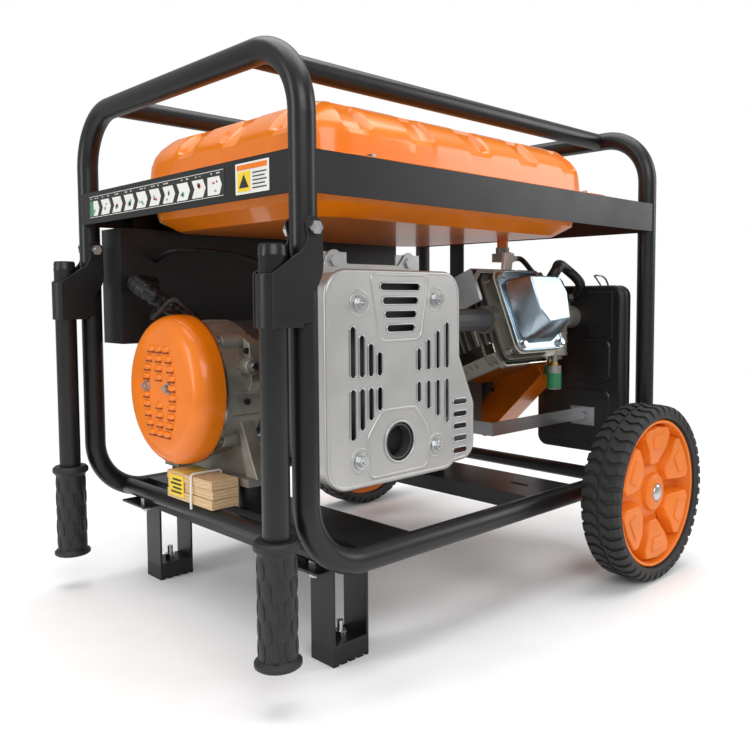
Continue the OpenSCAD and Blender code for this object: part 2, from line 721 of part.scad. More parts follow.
module crankcase() color("#8d8c86") place() difference() {
    union() {
        crank_axis() x_cyl(84, case_x[0], case_x[1]);
        box([case_x[0], crank_y - 82, unit_foot_z + 26], [case_x[1], crank_y + 124, crank_z + 20]);
        box([case_x[0] + 4, crank_y - 70, crank_z], [case_x[1] - 4, crank_y + 96, crank_z + 74]);
        along_cylinder() {
            translate([0, 0, 96]) cube([122, 118, 60], center = true);
            translate([0, 0, 60]) cylinder(r = bore_d / 2 + 9, h = deck_r - 60);
            for (z = [132 : 11 : deck_r - 12]) translate([0, 0, z]) linear_extrude(3) rounded(126, 126, 16);
            translate([0, 0, deck_r - 9]) linear_extrude(9) rounded(112, 118, 14);
        }
        for (y = mount_y) box([eng_mount_x - 26, y - 18, unit_foot_z], [eng_mount_x + 26, y + 18, unit_foot_z + 10]);
        for (s = [-1, 1]) box([case_x[0], crank_y + s * 52 - 22, unit_foot_z],
            [eng_mount_x + 60, crank_y + s * 52 + 22, unit_foot_z + 30]);
    }
    crank_axis() x_cyl(chamber_r, case_x[0] - 1, case_x[1] - 12);
    crank_axis() translate([0, cam_y, 0]) x_cyl(cam_r + 4, case_x[0] - 1, case_x[1] - 22);
    crank_axis() x_cyl(shaft_r + run_fit, case_x[1] - 40, case_x[1] + 5);
    along_cylinder() translate([0, 0, 20]) cylinder(d = bore_d, h = deck_r);
    crank_axis() translate([0, cam_y, 0]) x_cyl(8 + run_fit, case_x[1] - 30, case_x[1] - 14);
    for (y = mount_y) translate([eng_mount_x, y, 0]) cylinder(d = 8.6, h = unit_foot_z + 40);
    translate([case_x[1] - 40, crank_y + 125, unit_foot_z + 44]) rotate([-dip_dir, 0, 0])
        translate([0, 0, -30]) cylinder(r = 11, h = 60);
}

module crankcase_cover() color("#9a9994") place() difference() {
    union() {
        crank_axis() {
            x_cyl(84, case_x[0] - 16, case_x[0]);
            x_cyl(62, case_x[0] - 60, case_x[0] - 16);
            x_cyl(stator_d / 2 + 7, bell_x, bell_x + 16);
            for (k = [0 : 5]) rotate([k * 60 + 30, 0, 0])
                box([bell_x + 10, 52, -9], [case_x[0] - 10, stator_d / 2 - 6, 9]);
        }
        box([case_x[0] - 14, crank_y - 82, unit_foot_z + 26], [case_x[0], crank_y + 124, crank_z + 20]);
    }
    crank_axis() {
        x_cyl(shaft_r + run_fit, bell_x - 1, case_x[0] + 1);
        x_cyl(stator_d / 2 - 2, bell_x - 1, bell_x + 10);
        x_cyl(50, bell_x - 1, case_x[0] - 40);
        translate([0, cam_y, 0]) x_cyl(8 + run_fit, case_x[0] - 8, case_x[0] + 1);
    }
}

module cylinder_head() color("#a3a29c") place() along_cylinder() difference() {
    union() {
        translate([0, 0, deck_r]) linear_extrude(head_t) rounded(112, 118, 14);
        for (z = [deck_r + 8 : 11 : deck_r + head_t - 18]) translate([0, 0, z])
            linear_extrude(3) rounded(130, 134, 16);
        translate([0, 0, deck_r + head_t - 8]) linear_extrude(8) rounded(vc_w, vc_h, 15);
        translate([0, 0, deck_r + 30]) x_cyl(21, -68, 66);
    }
    translate([0, 0, deck_r - 1]) cylinder(d = bore_d - 8, h = 13);
    translate([0, 0, deck_r + 30]) x_cyl(14, -69, -20);
    translate([0, 0, deck_r + 30]) x_cyl(13, 20, 67);
    translate([20, 52, deck_r + 16]) rotate([-60, 0, 0]) {
        cylinder(r = 7.2, h = 60);
        translate([0, 0, 18]) cylinder(r = 12, h = 40);
    }
    translate([0, 0, deck_r + head_t - 16]) linear_extrude(20) rounded(vc_w - 30, vc_h - 34, 10);
}

// Frustum with bevelled corners, as a pressed rocker cover
module valve_cover() color("#d8dce0") place() along_cylinder() translate([0, 0, flange_r]) {
    difference() {
        union() {
            linear_extrude(4) rounded(vc_w, vc_h, 15);
            hull() {
                translate([0, 0, 3]) linear_extrude(1) rounded(vc_w - 22, vc_h - 26, 12, $fn = 32);
                translate([4, 2, vc_t - 1]) linear_extrude(1)
                    polygon([[-34, 36], [36, 36], [44, 10], [30, -30], [-22, -34], [-38, -14]]);
            }
        }
        hull() {
            translate([0, 0, -1]) linear_extrude(1) rounded(vc_w - 26, vc_h - 30, 10, $fn = 32);
            translate([4, 2, vc_t - 4]) linear_extrude(1)
                polygon([[-32, 34], [34, 34], [41, 10], [28, -28], [-21, -32], [-36, -13]]);
        }
    }
    for (i = [-1, 1], j = [-1, 1]) translate([i * vc_bolt[0] / 2, j * vc_bolt[1] / 2, 4 - eps])
        cylinder(r = 6, h = 6, $fn = 6);
}

// Folded air guide over the cylinder, on the exhaust side
module cylinder_shroud() color("#b5b8bb") place() along_cylinder() {
    difference() {
        translate([-88, 70, deck_r - 62]) cube([160, 2, 112]);
        translate([20, 52, deck_r + 16]) rotate([-60, 0, 0]) cylinder(r = 20, h = 60);
    }
    translate([-88, 22, deck_r - 62]) cube([2, 48 + eps, 112]);
    // spacers down to the head, above its last fin
    for (x = [-36, 36]) translate([x, 0, deck_r + 49]) y_cyl(3.4, 59, 70 + eps);
}

// Outline of the fan housing, drawn t inside its outer face
module fan_outline(t) translate([crank_y, crank_z]) {
    circle(housing_r - t);
    polygon([[-deck_r - 4 + t, -4], [-deck_r + 13 + t, 22 - t], [-120, 88 - t], [0, 100 - t],
        [0, -100 + t], [-89, -119 + 1.4 * t]]);
}

module fan_housing() color("#ef7a1c") place() difference() {
    yz_extrude(fan_x, fan_l) fan_outline(0);
    yz_extrude(fan_x - 1, fan_l - 1) fan_outline(2);
    translate([0, crank_y, crank_z]) x_cyl(60, fan_x, recoil_x + 1);
}

module recoil_cover() color("#202124") place() difference() {
    crank_axis() union() {
        x_cyl(88, recoil_x, recoil_x + 3);
        x_cyl(74, recoil_x, recoil_x + recoil_l);
        rotate([-rope_dir, 0, 0]) translate([recoil_x, -86, 12 - 9]) cube([22, 60, 18]);
    }
    crank_axis() {
        x_cyl(70, recoil_x - 1, recoil_x + recoil_l - 3);
        for (k = [0 : 11]) rotate([k * 30, 0, 0])
            box([recoil_x + recoil_l - 5, 30, -4], [recoil_x + recoil_l + 1, 60, 4]);
        rotate([-rope_dir, 0, 0]) translate([recoil_x + 11, 0, 12]) y_cyl(4, -90, -40);
    }
}

module recoil_grip() color("#161616") place() crank_axis() rotate([-rope_dir, 0, 0])
    translate([recoil_x + 11, 0, 12]) {
        y_cyl(rope_r, -102, rope_l - 102);
        difference() {
            translate([0, -104, 0]) rotate([-90, 0, 0]) linear_extrude(15) rounded(18, 62, 8);
            translate([0, -103, 0]) y_cyl(rope_r - eps, 0, 4);
        }
    }

// ---------------------------------------------------------------- rotating train

module crankshaft() color("#a9abad") place() crank_axis() {
    x_cyl(shaft_r, cyl_x + 30 - eps, fan_x + 6);
    x_cyl(12, fan_x + 6 - eps, fan_x + 44);
    x_cyl(shaft_r, bell_x - 8, cyl_x - 30 + eps);
    x_cyl(gear_r, case_x[0] + 8, case_x[0] + 20);
    for (x = [cyl_x - 30, cyl_x + 14]) difference() {
        x_cyl(50, x, x + 16);
        box([x - 1, -60, 26], [x + 17, -20, 60]);
    }
    rotate([90 - cyl_tilt, 0, 0]) translate([0, 0, throw_r]) x_cyl(pin_r, cyl_x - 15, cyl_x + 15);
}

module rotor() color("#b06a35") place() crank_axis() difference() {
    union() {
        x_cyl(stator_d / 2 - 24 - air_gap, stator_x + 4, stator_x + stator_l - 4);
        x_cyl(10, bracket_x + 12, stator_x + 5);
        x_cyl(22, stator_x - 30, stator_x - 12);
    }
    for (a = [0, 180]) rotate([a, 0, 0])
        box([stator_x, -13, stator_d / 2 - 42], [stator_x + stator_l, 13, stator_d / 2]);
    x_cyl(shaft_r - eps, bell_x - 8, bell_x + 20);
}

module flywheel() color("#5d5f62") place() crank_axis() difference() {
    union() {
        x_cyl(fly_r, fan_x + 10, fan_x + 24);
        x_cyl(30, fan_x + 8, fan_x + 40);
        for (k = [0 : 11]) rotate([k * 30, 0, 0])
            box([fan_x + 23, 46, -2], [fan_x + 42, fly_r - 4, 2]);
    }
    x_cyl(12, fan_x + 5, fan_x + 50);
}

module connecting_rod() color("#b4b5b7") place() along_cylinder() {
    difference() {
        union() {
            translate([0, 0, throw_r]) x_cyl(pin_r + 5, -11, 11);
            translate([0, 0, throw_r + rod_l]) x_cyl(10.5, -11, 11);
            box([-5, -7, throw_r + 12], [5, 7, throw_r + rod_l - 6]);
        }
        translate([0, 0, throw_r]) x_cyl(pin_r + run_fit, -20, 20);
        translate([0, 0, throw_r + rod_l]) x_cyl(6, -20, 20);
    }
}

piston_z = throw_r + rod_l + 12;
module piston() color("#bdbebf") place() along_cylinder() difference() {
    translate([0, 0, piston_z]) cylinder(r = bore_d / 2 - 0.1, h = 26);
    for (z = [13, 17, 21]) translate([0, 0, piston_z + z]) difference() {
        cylinder(r = bore_d, h = 1.5);
        translate([0, 0, -1]) cylinder(r = bore_d / 2 - 3, h = 4);
    }
}

module camshaft() color("#9fa0a2") place() crank_axis() translate([0, cam_y, 0]) {
    x_cyl(8, case_x[0] - 6, case_x[1] - 16);
    x_cyl(cam_r, case_x[0] + 8, case_x[0] + 20);
    for (k = [0, 1]) translate([case_x[0] + 24 + 88 * k, 0, 0]) rotate([60 + 100 * k, 0, 0])
        yz_extrude(0, 14) { circle(13); stadium([0, 0], [8, 0], 8); }
}

// ---------------------------------------------------------------- small engine parts

module spark_plug() color("#e8e6e0") place() along_cylinder()
    translate([20, 52, deck_r + 16]) rotate([-60, 0, 0]) {
        cylinder(r = 7, h = 34);
        translate([0, 0, 20]) cylinder(r = 11, h = 9, $fn = 6);
        translate([0, 0, 33]) cylinder(r = 8.5, h = 26);
    }

dip_dir = 90;
module dipstick() color("#26272a") place()
    translate([case_x[1] - 40, crank_y + 125, unit_foot_z + 44]) rotate([-dip_dir, 0, 0])
    translate([0, 0, 0.4]) {
        cylinder(r = 14, h = 8);
        translate([0, 0, -24]) cylinder(r = 10.6, h = 25);
        translate([-2, -13, 7]) cube([4, 26, 9]);
    }

// ---------------------------------------------------------------- exhaust

module shield_outline(t) {
    translate([shield_x + shield_l / 2, shield_z + shield_h / 2])
        rounded(shield_l - 2 * t, shield_h - 2 * t, 26 - t);
    bulge_x = shield_x + shield_l + shield_bulge - t;
    translate([bulge_x - 60, shield_z + 50]) rounded(120, 84 - 2 * t, 20 - t);
    polygon([[shield_x + shield_l - 30, shield_z + 30 + t], [bulge_x - 20, shield_z + 8 + t],
        [bulge_x, shield_z + 28 + t], [bulge_x, shield_z + 74 - t],
        [shield_x + shield_l - t, shield_z + 138], [shield_x + shield_l - 30, shield_z + 138]]);
}

module heat_shield() color("#c4c5c3") place() difference() {
    union() {
        xz_extrude(shield_y, shield_t) shield_outline(0);
        xz_extrude(shield_y + shield_t - eps, 28) difference() {
            shield_outline(0);
            shield_outline(shield_t);
        }
    }
    xz_extrude(shield_y - 1, 4) {
        translate(shield_c) circle(outlet_r + 4);
        for (k = [0 : 3]) stadium([shield_c[0] - 26 + 3.5 * k, shield_z + 224 - 16 * k],
            [shield_c[0] + 30 - 3 * k, shield_z + 224 - 16 * k], 4);
        for (k = [0 : 3]) {
            x = shield_x + 35 + 13.5 * k;
            stadium([x, shield_z + 126], [x, shield_z + 176 - 10 * k], 3.6);
            stadium([x, shield_z + 56 + 10 * k], [x, shield_z + 106], 3.6);
            stadium([shield_x + 189 - 16.5 * k, shield_z + 127],
                [shield_x + 189 - 16.5 * k, shield_z + 178 - 10 * k], 3);
            stadium([shield_x + 189 - 16.5 * k, shield_z + 59 + 10 * k],
                [shield_x + 189 - 16.5 * k, shield_z + 108], 3);
        }
        for (k = [0 : 4]) stadium([shield_x + 204, shield_z + 18 + 15.5 * k],
            [shield_x + 223, shield_z + 18 + 15.5 * k], 3.4);
        for (b = shield_bolts) translate([shield_x + b[0], shield_z + b[1]]) circle(3.4);
    }
}

exh_from = [muff_x[1] - 4, muff_y[1] - 40, 250];
module muffler() color("#8f8e8a") place() {
    difference() {
        union() {
            translate([0, muff_y[0], 0]) xz_extrude(0, muff_y[1] - muff_y[0])
                translate([(muff_x[0] + muff_x[1]) / 2, (muff_z[0] + muff_z[1]) / 2])
                rounded(muff_x[1] - muff_x[0], muff_z[1] - muff_z[0], 34);
            translate([shield_c[0], 0, shield_c[1]])
                y_cyl(outlet_r + 2, shield_y + 1, muff_y[0] + 1);
            for (b = shield_bolts) translate([shield_x + b[0], 0, shield_z + b[1]])
                y_cyl(7, shield_y + shield_t, muff_y[0] + 1);
        }
        xz_extrude(muff_y[0] + 2, muff_y[1] - muff_y[0] - 4)
            translate([(muff_x[0] + muff_x[1]) / 2, (muff_z[0] + muff_z[1]) / 2])
            rounded(muff_x[1] - muff_x[0] - 4, muff_z[1] - muff_z[0] - 4, 32);
        translate([shield_c[0], 0, shield_c[1]]) y_cyl(outlet_r, shield_y, muff_y[0] + 30);
        translate([0, exh_from[1], exh_from[2]]) x_cyl(14, muff_x[1] - 10, muff_x[1] + 10);
    }
    for (b = shield_bolts) translate([shield_x + b[0], 0, shield_z + b[1]]) {
        y_cyl(3, shield_y - 3, shield_y + 4);
        rotate([90, 0, 0]) translate([0, 0, -shield_y]) cylinder(r = 6.6, h = 4.5, $fn = 6);
    }
    port = [cyl_x - 68, crank_y - (deck_r + 30) * cos(cyl_tilt), crank_z + (deck_r + 30) * sin(cyl_tilt)];
    hose([[exh_from[0] + 3, exh_from[1], exh_from[2]], [exh_from[0] + 40, exh_from[1], exh_from[2]],
        [port[0] - 40, port[1], port[2]], [port[0] - 0.2, port[1], port[2]]], 32, [0, 0, 1]);
}

module support_brackets() color("#b9bbbd") place() {
    // from the muffler's top to the alternator
    difference() {
        box([muff_x[0] + 10, muff_y[0] + 27, muff_z[1]], [muff_x[1] - 14, muff_y[0] + 29, muff_z[1] + 36]);
        box([muff_x[0] + 50, muff_y[0] + 20, muff_z[1] + 18], [muff_x[1] - 54, muff_y[0] + 40, muff_z[1] + 40]);
        for (x = [muff_x[0] + 30, muff_x[1] - 34]) translate([x, 0, muff_z[1] + 26])
            y_cyl(4.2, muff_y[0] + 20, muff_y[0] + 40);
    }
    box([muff_x[0] + 10, muff_y[0] + 27, muff_z[1]], [muff_x[1] - 14, muff_y[0] + 90, muff_z[1] + 2]);
    for (x = [muff_x[0] + 30, muff_x[1] - 34])
        translate([x, muff_y[0] + 27, muff_z[1] + 26]) rotate([90, 0, 0]) hex_bolt(7.4, 5, 5);
    // from the crankcase to the air cleaner
    y0 = crank_y - 225;
    box([cyl_x - 50, y0 + 2, 78], [box_x[0] - 3, y0 + 5, 98]);
    box([box_x[0] - 3 - eps, y0 - 40, 74], [box_x[0] - 0.5, y0 + 5, 104]);
    box([cyl_x - 53, y0 + 2, 78], [cyl_x - 50 + eps, crank_y - 82, 98]);
    translate([0, y0 - 20, 89]) rotate([0, -90, 0]) translate([0, 0, -box_x[0] + 3 - eps])
        cylinder(r = 6.6, h = 5, $fn = 6);
}

// ---------------------------------------------------------------- intake

port_x = cyl_x + 66;
port_y = crank_y - (deck_r + 30) * cos(cyl_tilt);
port_z = crank_z + (deck_r + 30) * sin(cyl_tilt);
module carburettor() color("#a09e98") place() translate([0, port_y, port_z]) {
    difference() {
        union() {
            x_cyl(22, port_x, port_x + 10);
            x_cyl(18, port_x + 9, box_x[0]);
            box([port_x + 14, -24, -26], [port_x + 44, 18, 20]);
            box([port_x + 40, -20, -12], [port_x + 58, 14, 24]);
        }
        x_cyl(12, port_x - 1, box_x[0] + 1);
        translate([port_x + 46, -12, 10]) cylinder(r = 3 + run_fit, h = 20);
    }
    translate([port_x + 30, -6, -58]) cylinder(r = 23, h = 33);
    translate([port_x + 30, -6, -66]) cylinder(r = 16, h = 9);
    translate([port_x + 16, -20, -76]) cylinder(r = 5, h = 20);
    translate([port_x + 16, -20, -112]) cylinder(r = 11, h = 37);
}

module choke_lever() color("#1a1a1a") place() translate([port_x + 46, port_y - 12, port_z]) {
    translate([0, 0, 12]) cylinder(r = 3, h = 16);
    translate([0, 0, 25]) linear_extrude(4) stadium([0, 0], [-26, -34], 5);
    translate([-26, -34, 25]) cylinder(r = 7, h = 12);
}

module air_cleaner_box() color("#17181a") place() difference() {
    yz_extrude(box_x[0], 20) translate([(box_y[0] + box_y[1]) / 2, (box_z[0] + box_z[1]) / 2])
        rounded(box_y[1] - box_y[0], box_z[1] - box_z[0], 18);
    yz_extrude(box_x[0] + 3, 20) translate([(box_y[0] + box_y[1]) / 2, (box_z[0] + box_z[1]) / 2])
        rounded(box_y[1] - box_y[0] - 6, box_z[1] - box_z[0] - 6, 15);
    translate([0, port_y, port_z]) x_cyl(18, box_x[0] - 1, box_x[0] + 4);
}

module air_cleaner_cover() color("#1c1d1f") place() difference() {
    yz_extrude(box_x[0] + 20, box_x[1] - box_x[0] - 20)
        translate([(box_y[0] + box_y[1]) / 2, (box_z[0] + box_z[1]) / 2])
        rounded(box_y[1] - box_y[0], box_z[1] - box_z[0], 18);
    yz_extrude(box_x[0] + 19, box_x[1] - box_x[0] - 22)
        translate([(box_y[0] + box_y[1]) / 2, (box_z[0] + box_z[1]) / 2])
        rounded(box_y[1] - box_y[0] - 6, box_z[1] - box_z[0] - 6, 15);
}

// ---------------------------------------------------------------- alternator

module dish(r, depth, edge) {
    square([r, depth - edge]);
    square([r - edge, depth]);
    translate([r - edge, depth - edge]) circle(edge);
}

module louvre_cover() color("#f57c14") place() crank_axis() difference() {
    translate([bracket_x, 0, 0]) rotate([0, -90, 0]) rotate_extrude() intersection() {
        difference() {
            dish(cover_d / 2, cover_depth, 14);
            translate([0, -1]) dish(cover_d / 2 - 1.5, cover_depth - 0.5, 12.5);
        }
        square([cover_d, cover_depth]);
    }
    for (c = [-1, 0, 1], k = [-4 : 4]) if (c != 0 || abs(k) > 1)
        box([unit_x - 1, c * 34 - 9, k * 13 - 2], [unit_x + 4, c * 34 + 9, k * 13 + 2]);
}

module alternator_housing() color("#9c9a94") place() difference() {
    union() {
        crank_axis() {
            x_cyl(cover_d / 2 - 8, bracket_x, bracket_x + 12);
            x_cyl(stator_d / 2 + 5, bracket_x + 11, stator_x);
            for (a = [45 : 90 : 315]) rotate([a, 0, 0])
                translate([0, stator_d / 2 + 3, 0]) x_cyl(9, bracket_x + 14, stator_x - 2);
        }
        for (y = mount_y)
            box([alt_mount_x - 24, y - 20, unit_foot_z], [alt_mount_x + 24, y + 20, unit_foot_z + 10]);
        box([alt_mount_x - 8, crank_y - 77, unit_foot_z + 4],
            [alt_mount_x + 8, crank_y + 77, crank_z - 40]);
    }
    crank_axis() {
        x_cyl(stator_d / 2 - 6, bracket_x + 24, stator_x + 1);
        x_cyl(10 + run_fit, bracket_x - 1, stator_x);
        x_cyl(58, bracket_x - 1, bracket_x + 10);
    }
    for (y = mount_y) translate([alt_mount_x, y, 0]) cylinder(d = 8.6, h = unit_foot_z + 30);
}

module stator() color("#7d7c78") place() crank_axis() difference() {
    union() {
        x_cyl(stator_d / 2, stator_x + eps, bell_x);
        for (k = [0 : 7]) rotate([k * 45, 0, 0])
            box([stator_x + 1, stator_d / 2 - 4, -7], [bell_x - 1, stator_d / 2 + 3, 7]);
    }
    x_cyl(stator_d / 2 - 24, stator_x - 1, bell_x + 1);
}

// ---------------------------------------------------------------- control panel

module panel_box() color("#141517") place() {
    difference() {
        box([panel_x[0], panel_y, panel_z[0]], [panel_x[1], panel_face_y - 2, panel_z[1]]);
        box([panel_x[0] + 2, panel_y + 2, panel_z[0] + 2],
            [panel_x[1] - 2, panel_face_y, panel_z[1] - 2]);
    }
    // straps up to the flange of the tank rail
    for (x = [panel_x[0] + 40, panel_x[1] - 70])
        box([x, panel_face_y - 20, panel_z[1] - 1], [x + 30, panel_face_y - 17, band_top - band_t]);
}

module on_face(x, z) translate([x, panel_face_y, z]) rotate([-90, 0, 0]) children();

module panel_face() color("#1a1b1d") place() difference() {
    box([panel_x[0], panel_face_y - 2, panel_z[0]], [panel_x[1], panel_face_y, panel_z[1]]);
    for (x = socket_x) translate([x, 0, socket_z]) y_cyl(socket_r - 4, panel_face_y - 9, panel_face_y + 9);
    translate([meter_x, 0, socket_z]) y_cyl(24, panel_face_y - 9, panel_face_y + 9);
    translate([switch_x, 0, socket_z]) y_cyl(11, panel_face_y - 9, panel_face_y + 9);
    box([breaker_x - 16, panel_face_y - 9, socket_z - 24], [breaker_x + 16, panel_face_y + 9, socket_z + 24]);
}

module panel_fittings() color("#2b2c2f") place() {
    for (x = socket_x) on_face(x, socket_z) difference() {
        union() {
            cylinder(r = socket_r, h = socket_out);
            translate([0, 0, -20]) cylinder(r = socket_r - 4.5, h = 21);
            for (i = [-1, 1]) translate([i * 14 - 3, -socket_r - 5, 0]) cube([6, 8, socket_out + 3]);
        }
        translate([0, 0, -14]) cylinder(r = socket_r - 8, h = 40);
        translate([0, -socket_r - 1, socket_out - 1]) x_cyl(2 + run_fit, -20, 20);
        box([-9, -socket_r - 6, socket_out - 5], [9, -socket_r + 4.5, socket_out + 1]);
    }
    on_face(meter_x, socket_z) {
        cylinder(r = 27, h = 5);
        translate([0, 0, -15]) cylinder(r = 23.5, h = 16);
    }
    on_face(switch_x, socket_z) difference() {
        union() {
            cylinder(r = 16, h = 4);
            translate([0, 0, -20]) cylinder(r = 10.5, h = 21);
        }
        translate([0, 0, -10]) cylinder(r = 6 + run_fit, h = 20);
    }
    on_face(breaker_x, socket_z) difference() {
        box([-20, -28, 0], [20, 28, 4]);
        box([-11, -17, -1], [11, 17, 5]);
    }
    on_face(breaker_x, socket_z) difference() {
        box([-15.5, -23.5, -24], [15.5, 23.5, eps]);
        box([-11, -17, -12], [11, 17, 1]);
        translate([0, 0, -4]) x_cyl(3 + run_fit, -13, 13);
    }
    on_face(earth_x, socket_z - 20) {
        cylinder(d = 6, h = 24);
        cylinder(r = 6.5, h = 8, $fn = 6);
    }
}

// A sprung lid on its own pin, over the mouth of a socket
module socket_lid(x) place() on_face(x, socket_z) {
    translate([0, 0, socket_out + 0.5]) {
        cylinder(r = socket_r - 4, h = lid_t);
        translate([0, -socket_r - 1, -1.5]) x_cyl(3.4, -8, 8);
        box([-8, -socket_r - 1, 0], [8, -socket_r + 8, lid_t]);
    }
    translate([0, -socket_r - 1, socket_out - 1]) x_cyl(2, -16.5, 16.5);
}

module socket_lid_a() color("#232427") socket_lid(socket_x[0]);
module socket_lid_b() color("#232427") socket_lid(socket_x[1]);

module breaker_switch() color("#101010") place() on_face(breaker_x, socket_z) {
    difference() {
        translate([0, 0, -4]) x_cyl(15, -10.5, 10.5);
        box([-12, -20, -24], [12, 20, -6]);
    }
    translate([0, 0, -4]) x_cyl(3, -12.5, 12.5);
}

module engine_switch() color("#b02020") place() on_face(switch_x, socket_z) {
    translate([0, 0, -8]) cylinder(r = 6, h = 13);
    translate([0, 0, 4.5]) cylinder(r = 13, h = 6);
    translate([-4, -13, 10]) cube([8, 26, 8]);
}

// ---------------------------------------------------------------- transport block

block_x = bracket_x - 19;
module shipping_block() color("#c9a06c") place()
    box([block_x, crank_y - 91, 17.2], [block_x + 40, crank_y + 22, crank_z - 109]);

frame_left_hoop();
frame_right_hoop();
bottom_tubes();
top_rails();
tank_rails();
alternator_crossmember();
engine_crossmember();
foot_brackets();
foot_pads();
axle_bolts();
frame_bolts();
handle_near();
grip_near();
handle_far();
grip_far();
tyre_near();
rim_near();
tyre_far();
rim_far();
tank_upper();
tank_lower();
fuel_cap();
fuel_tap();
fuel_tap_lever();
hoses();
rubber_mounts();
crankcase();
crankcase_cover();
cylinder_head();
valve_cover();
cylinder_shroud();
fan_housing();
recoil_cover();
recoil_grip();
flywheel();
crankshaft();
connecting_rod();
piston();
camshaft();
spark_plug();
dipstick();
muffler();
heat_shield();
support_brackets();
carburettor();
choke_lever();
air_cleaner_box();
air_cleaner_cover();
louvre_cover();
alternator_housing();
stator();
rotor();
panel_box();
panel_face();
panel_fittings();
socket_lid_a();
socket_lid_b();
breaker_switch();
engine_switch();
shipping_block();
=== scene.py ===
"""Looks of the portable generator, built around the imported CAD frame. Lengths are millimetres
in the CAD source's frame coordinates until mm() turns them into metres in the row frame."""
import math
import random

import bmesh
import bpy
from mathutils import Matrix, Vector


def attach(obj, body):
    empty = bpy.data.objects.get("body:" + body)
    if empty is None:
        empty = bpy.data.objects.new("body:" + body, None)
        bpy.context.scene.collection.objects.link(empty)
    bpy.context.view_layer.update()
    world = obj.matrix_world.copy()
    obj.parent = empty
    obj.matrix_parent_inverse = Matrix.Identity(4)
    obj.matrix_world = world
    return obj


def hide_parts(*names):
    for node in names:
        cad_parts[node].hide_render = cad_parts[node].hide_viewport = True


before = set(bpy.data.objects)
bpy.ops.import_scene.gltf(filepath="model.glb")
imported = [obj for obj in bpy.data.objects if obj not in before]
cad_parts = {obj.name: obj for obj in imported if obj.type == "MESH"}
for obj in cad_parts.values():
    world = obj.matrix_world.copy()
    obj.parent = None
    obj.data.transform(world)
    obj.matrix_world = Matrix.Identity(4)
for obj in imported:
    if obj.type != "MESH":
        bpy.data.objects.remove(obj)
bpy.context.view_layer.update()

# ------------------------------------------------------------------ camera
YAW, PITCH, ROLL = math.radians(45.10), math.radians(-3.56), math.radians(-0.20)
cam_data = bpy.data.cameras.new("camera")
cam = bpy.data.objects.new("camera", cam_data)
bpy.context.scene.collection.objects.link(cam)
bpy.context.scene.camera = cam
cam.location = (-0.8071, -0.8850, 0.4108)
cam.rotation_euler = (Matrix.Rotation(-YAW, 3, "Z") @ Matrix.Rotation(math.pi / 2 + PITCH, 3, "X")
                      @ Matrix.Rotation(ROLL, 3, "Z")).to_euler()
cam_data.lens, cam_data.sensor_width = 38.16, 36.0
cam_data.shift_x, cam_data.shift_y = -0.0476, -0.0371
cam_data.clip_start, cam_data.clip_end = 0.01, 50


# ------------------------------------------------------------------ materials
def material(name, color, rough=0.5, metal=0.0, coat=0.0, vary=0.12, vary_scale=18.0,
             bump=0.15, bump_scale=900.0, depth=0.00012, rough_vary=0.1, tint=None, speck=0.0,
             spec=0.5):
    """Principled material whose colour, roughness and fine relief come from noise in object space."""
    m = bpy.data.materials.new(name)
    m.use_nodes = True
    t = m.node_tree
    n, link = t.nodes, t.links.new
    bsdf = n["Principled BSDF"]
    bsdf.inputs["Metallic"].default_value = metal
    bsdf.inputs["Coat Weight"].default_value = coat
    bsdf.inputs["Coat Roughness"].default_value = 0.06
    bsdf.inputs["Specular IOR Level"].default_value = spec
    co = n.new("ShaderNodeTexCoord")
    big = n.new("ShaderNodeTexNoise")
    big.inputs["Scale"].default_value = vary_scale
    big.inputs["Detail"].default_value = 5.0
    fine = n.new("ShaderNodeTexNoise")
    fine.inputs["Scale"].default_value = bump_scale
    fine.inputs["Detail"].default_value = 3.0
    for tex in (big, fine):
        link(co.outputs["Object"], tex.inputs["Vector"])
    ramp = n.new("ShaderNodeValToRGB")
    dark = [c * (1 - vary) for c in color]
    light = [min(1.0, c * (1 + vary)) for c in color]
    if tint:
        light = [min(1.0, c * 0.6 + k * 0.4) for c, k in zip(light, tint)]
    ramp.color_ramp.elements[0].position, ramp.color_ramp.elements[1].position = 0.35, 0.68
    ramp.color_ramp.elements[0].color = (*dark, 1)
    ramp.color_ramp.elements[1].color = (*light, 1)
    link(big.outputs["Fac"], ramp.inputs["Fac"])
    out = ramp.outputs["Color"]
    if speck:
        mix = n.new("ShaderNodeMix")
        mix.data_type = "RGBA"
        step = n.new("ShaderNodeMapRange")
        step.inputs["From Min"].default_value = 0.55
        step.inputs["From Max"].default_value = 0.72
        step.inputs["To Max"].default_value = speck
        link(fine.outputs["Fac"], step.inputs["Value"])
        link(step.outputs["Result"], mix.inputs["Factor"])
        link(out, mix.inputs[6])
        mix.inputs[7].default_value = (*[min(1.0, c * 1.9 + 0.02) for c in color], 1)
        out = mix.outputs[2]
    link(out, bsdf.inputs["Base Color"])
    rr = n.new("ShaderNodeMapRange")
    rr.inputs["To Min"].default_value = max(0.03, rough - rough_vary)
    rr.inputs["To Max"].default_value = min(1.0, rough + rough_vary)
    link(big.outputs["Fac"], rr.inputs["Value"])
    link(rr.outputs["Result"], bsdf.inputs["Roughness"])
    bp = n.new("ShaderNodeBump")
    bp.inputs["Strength"].default_value = bump
    bp.inputs["Distance"].default_value = depth
    link(fine.outputs["Fac"], bp.inputs["Height"])
    link(bp.outputs["Normal"], bsdf.inputs["Normal"])
    return m


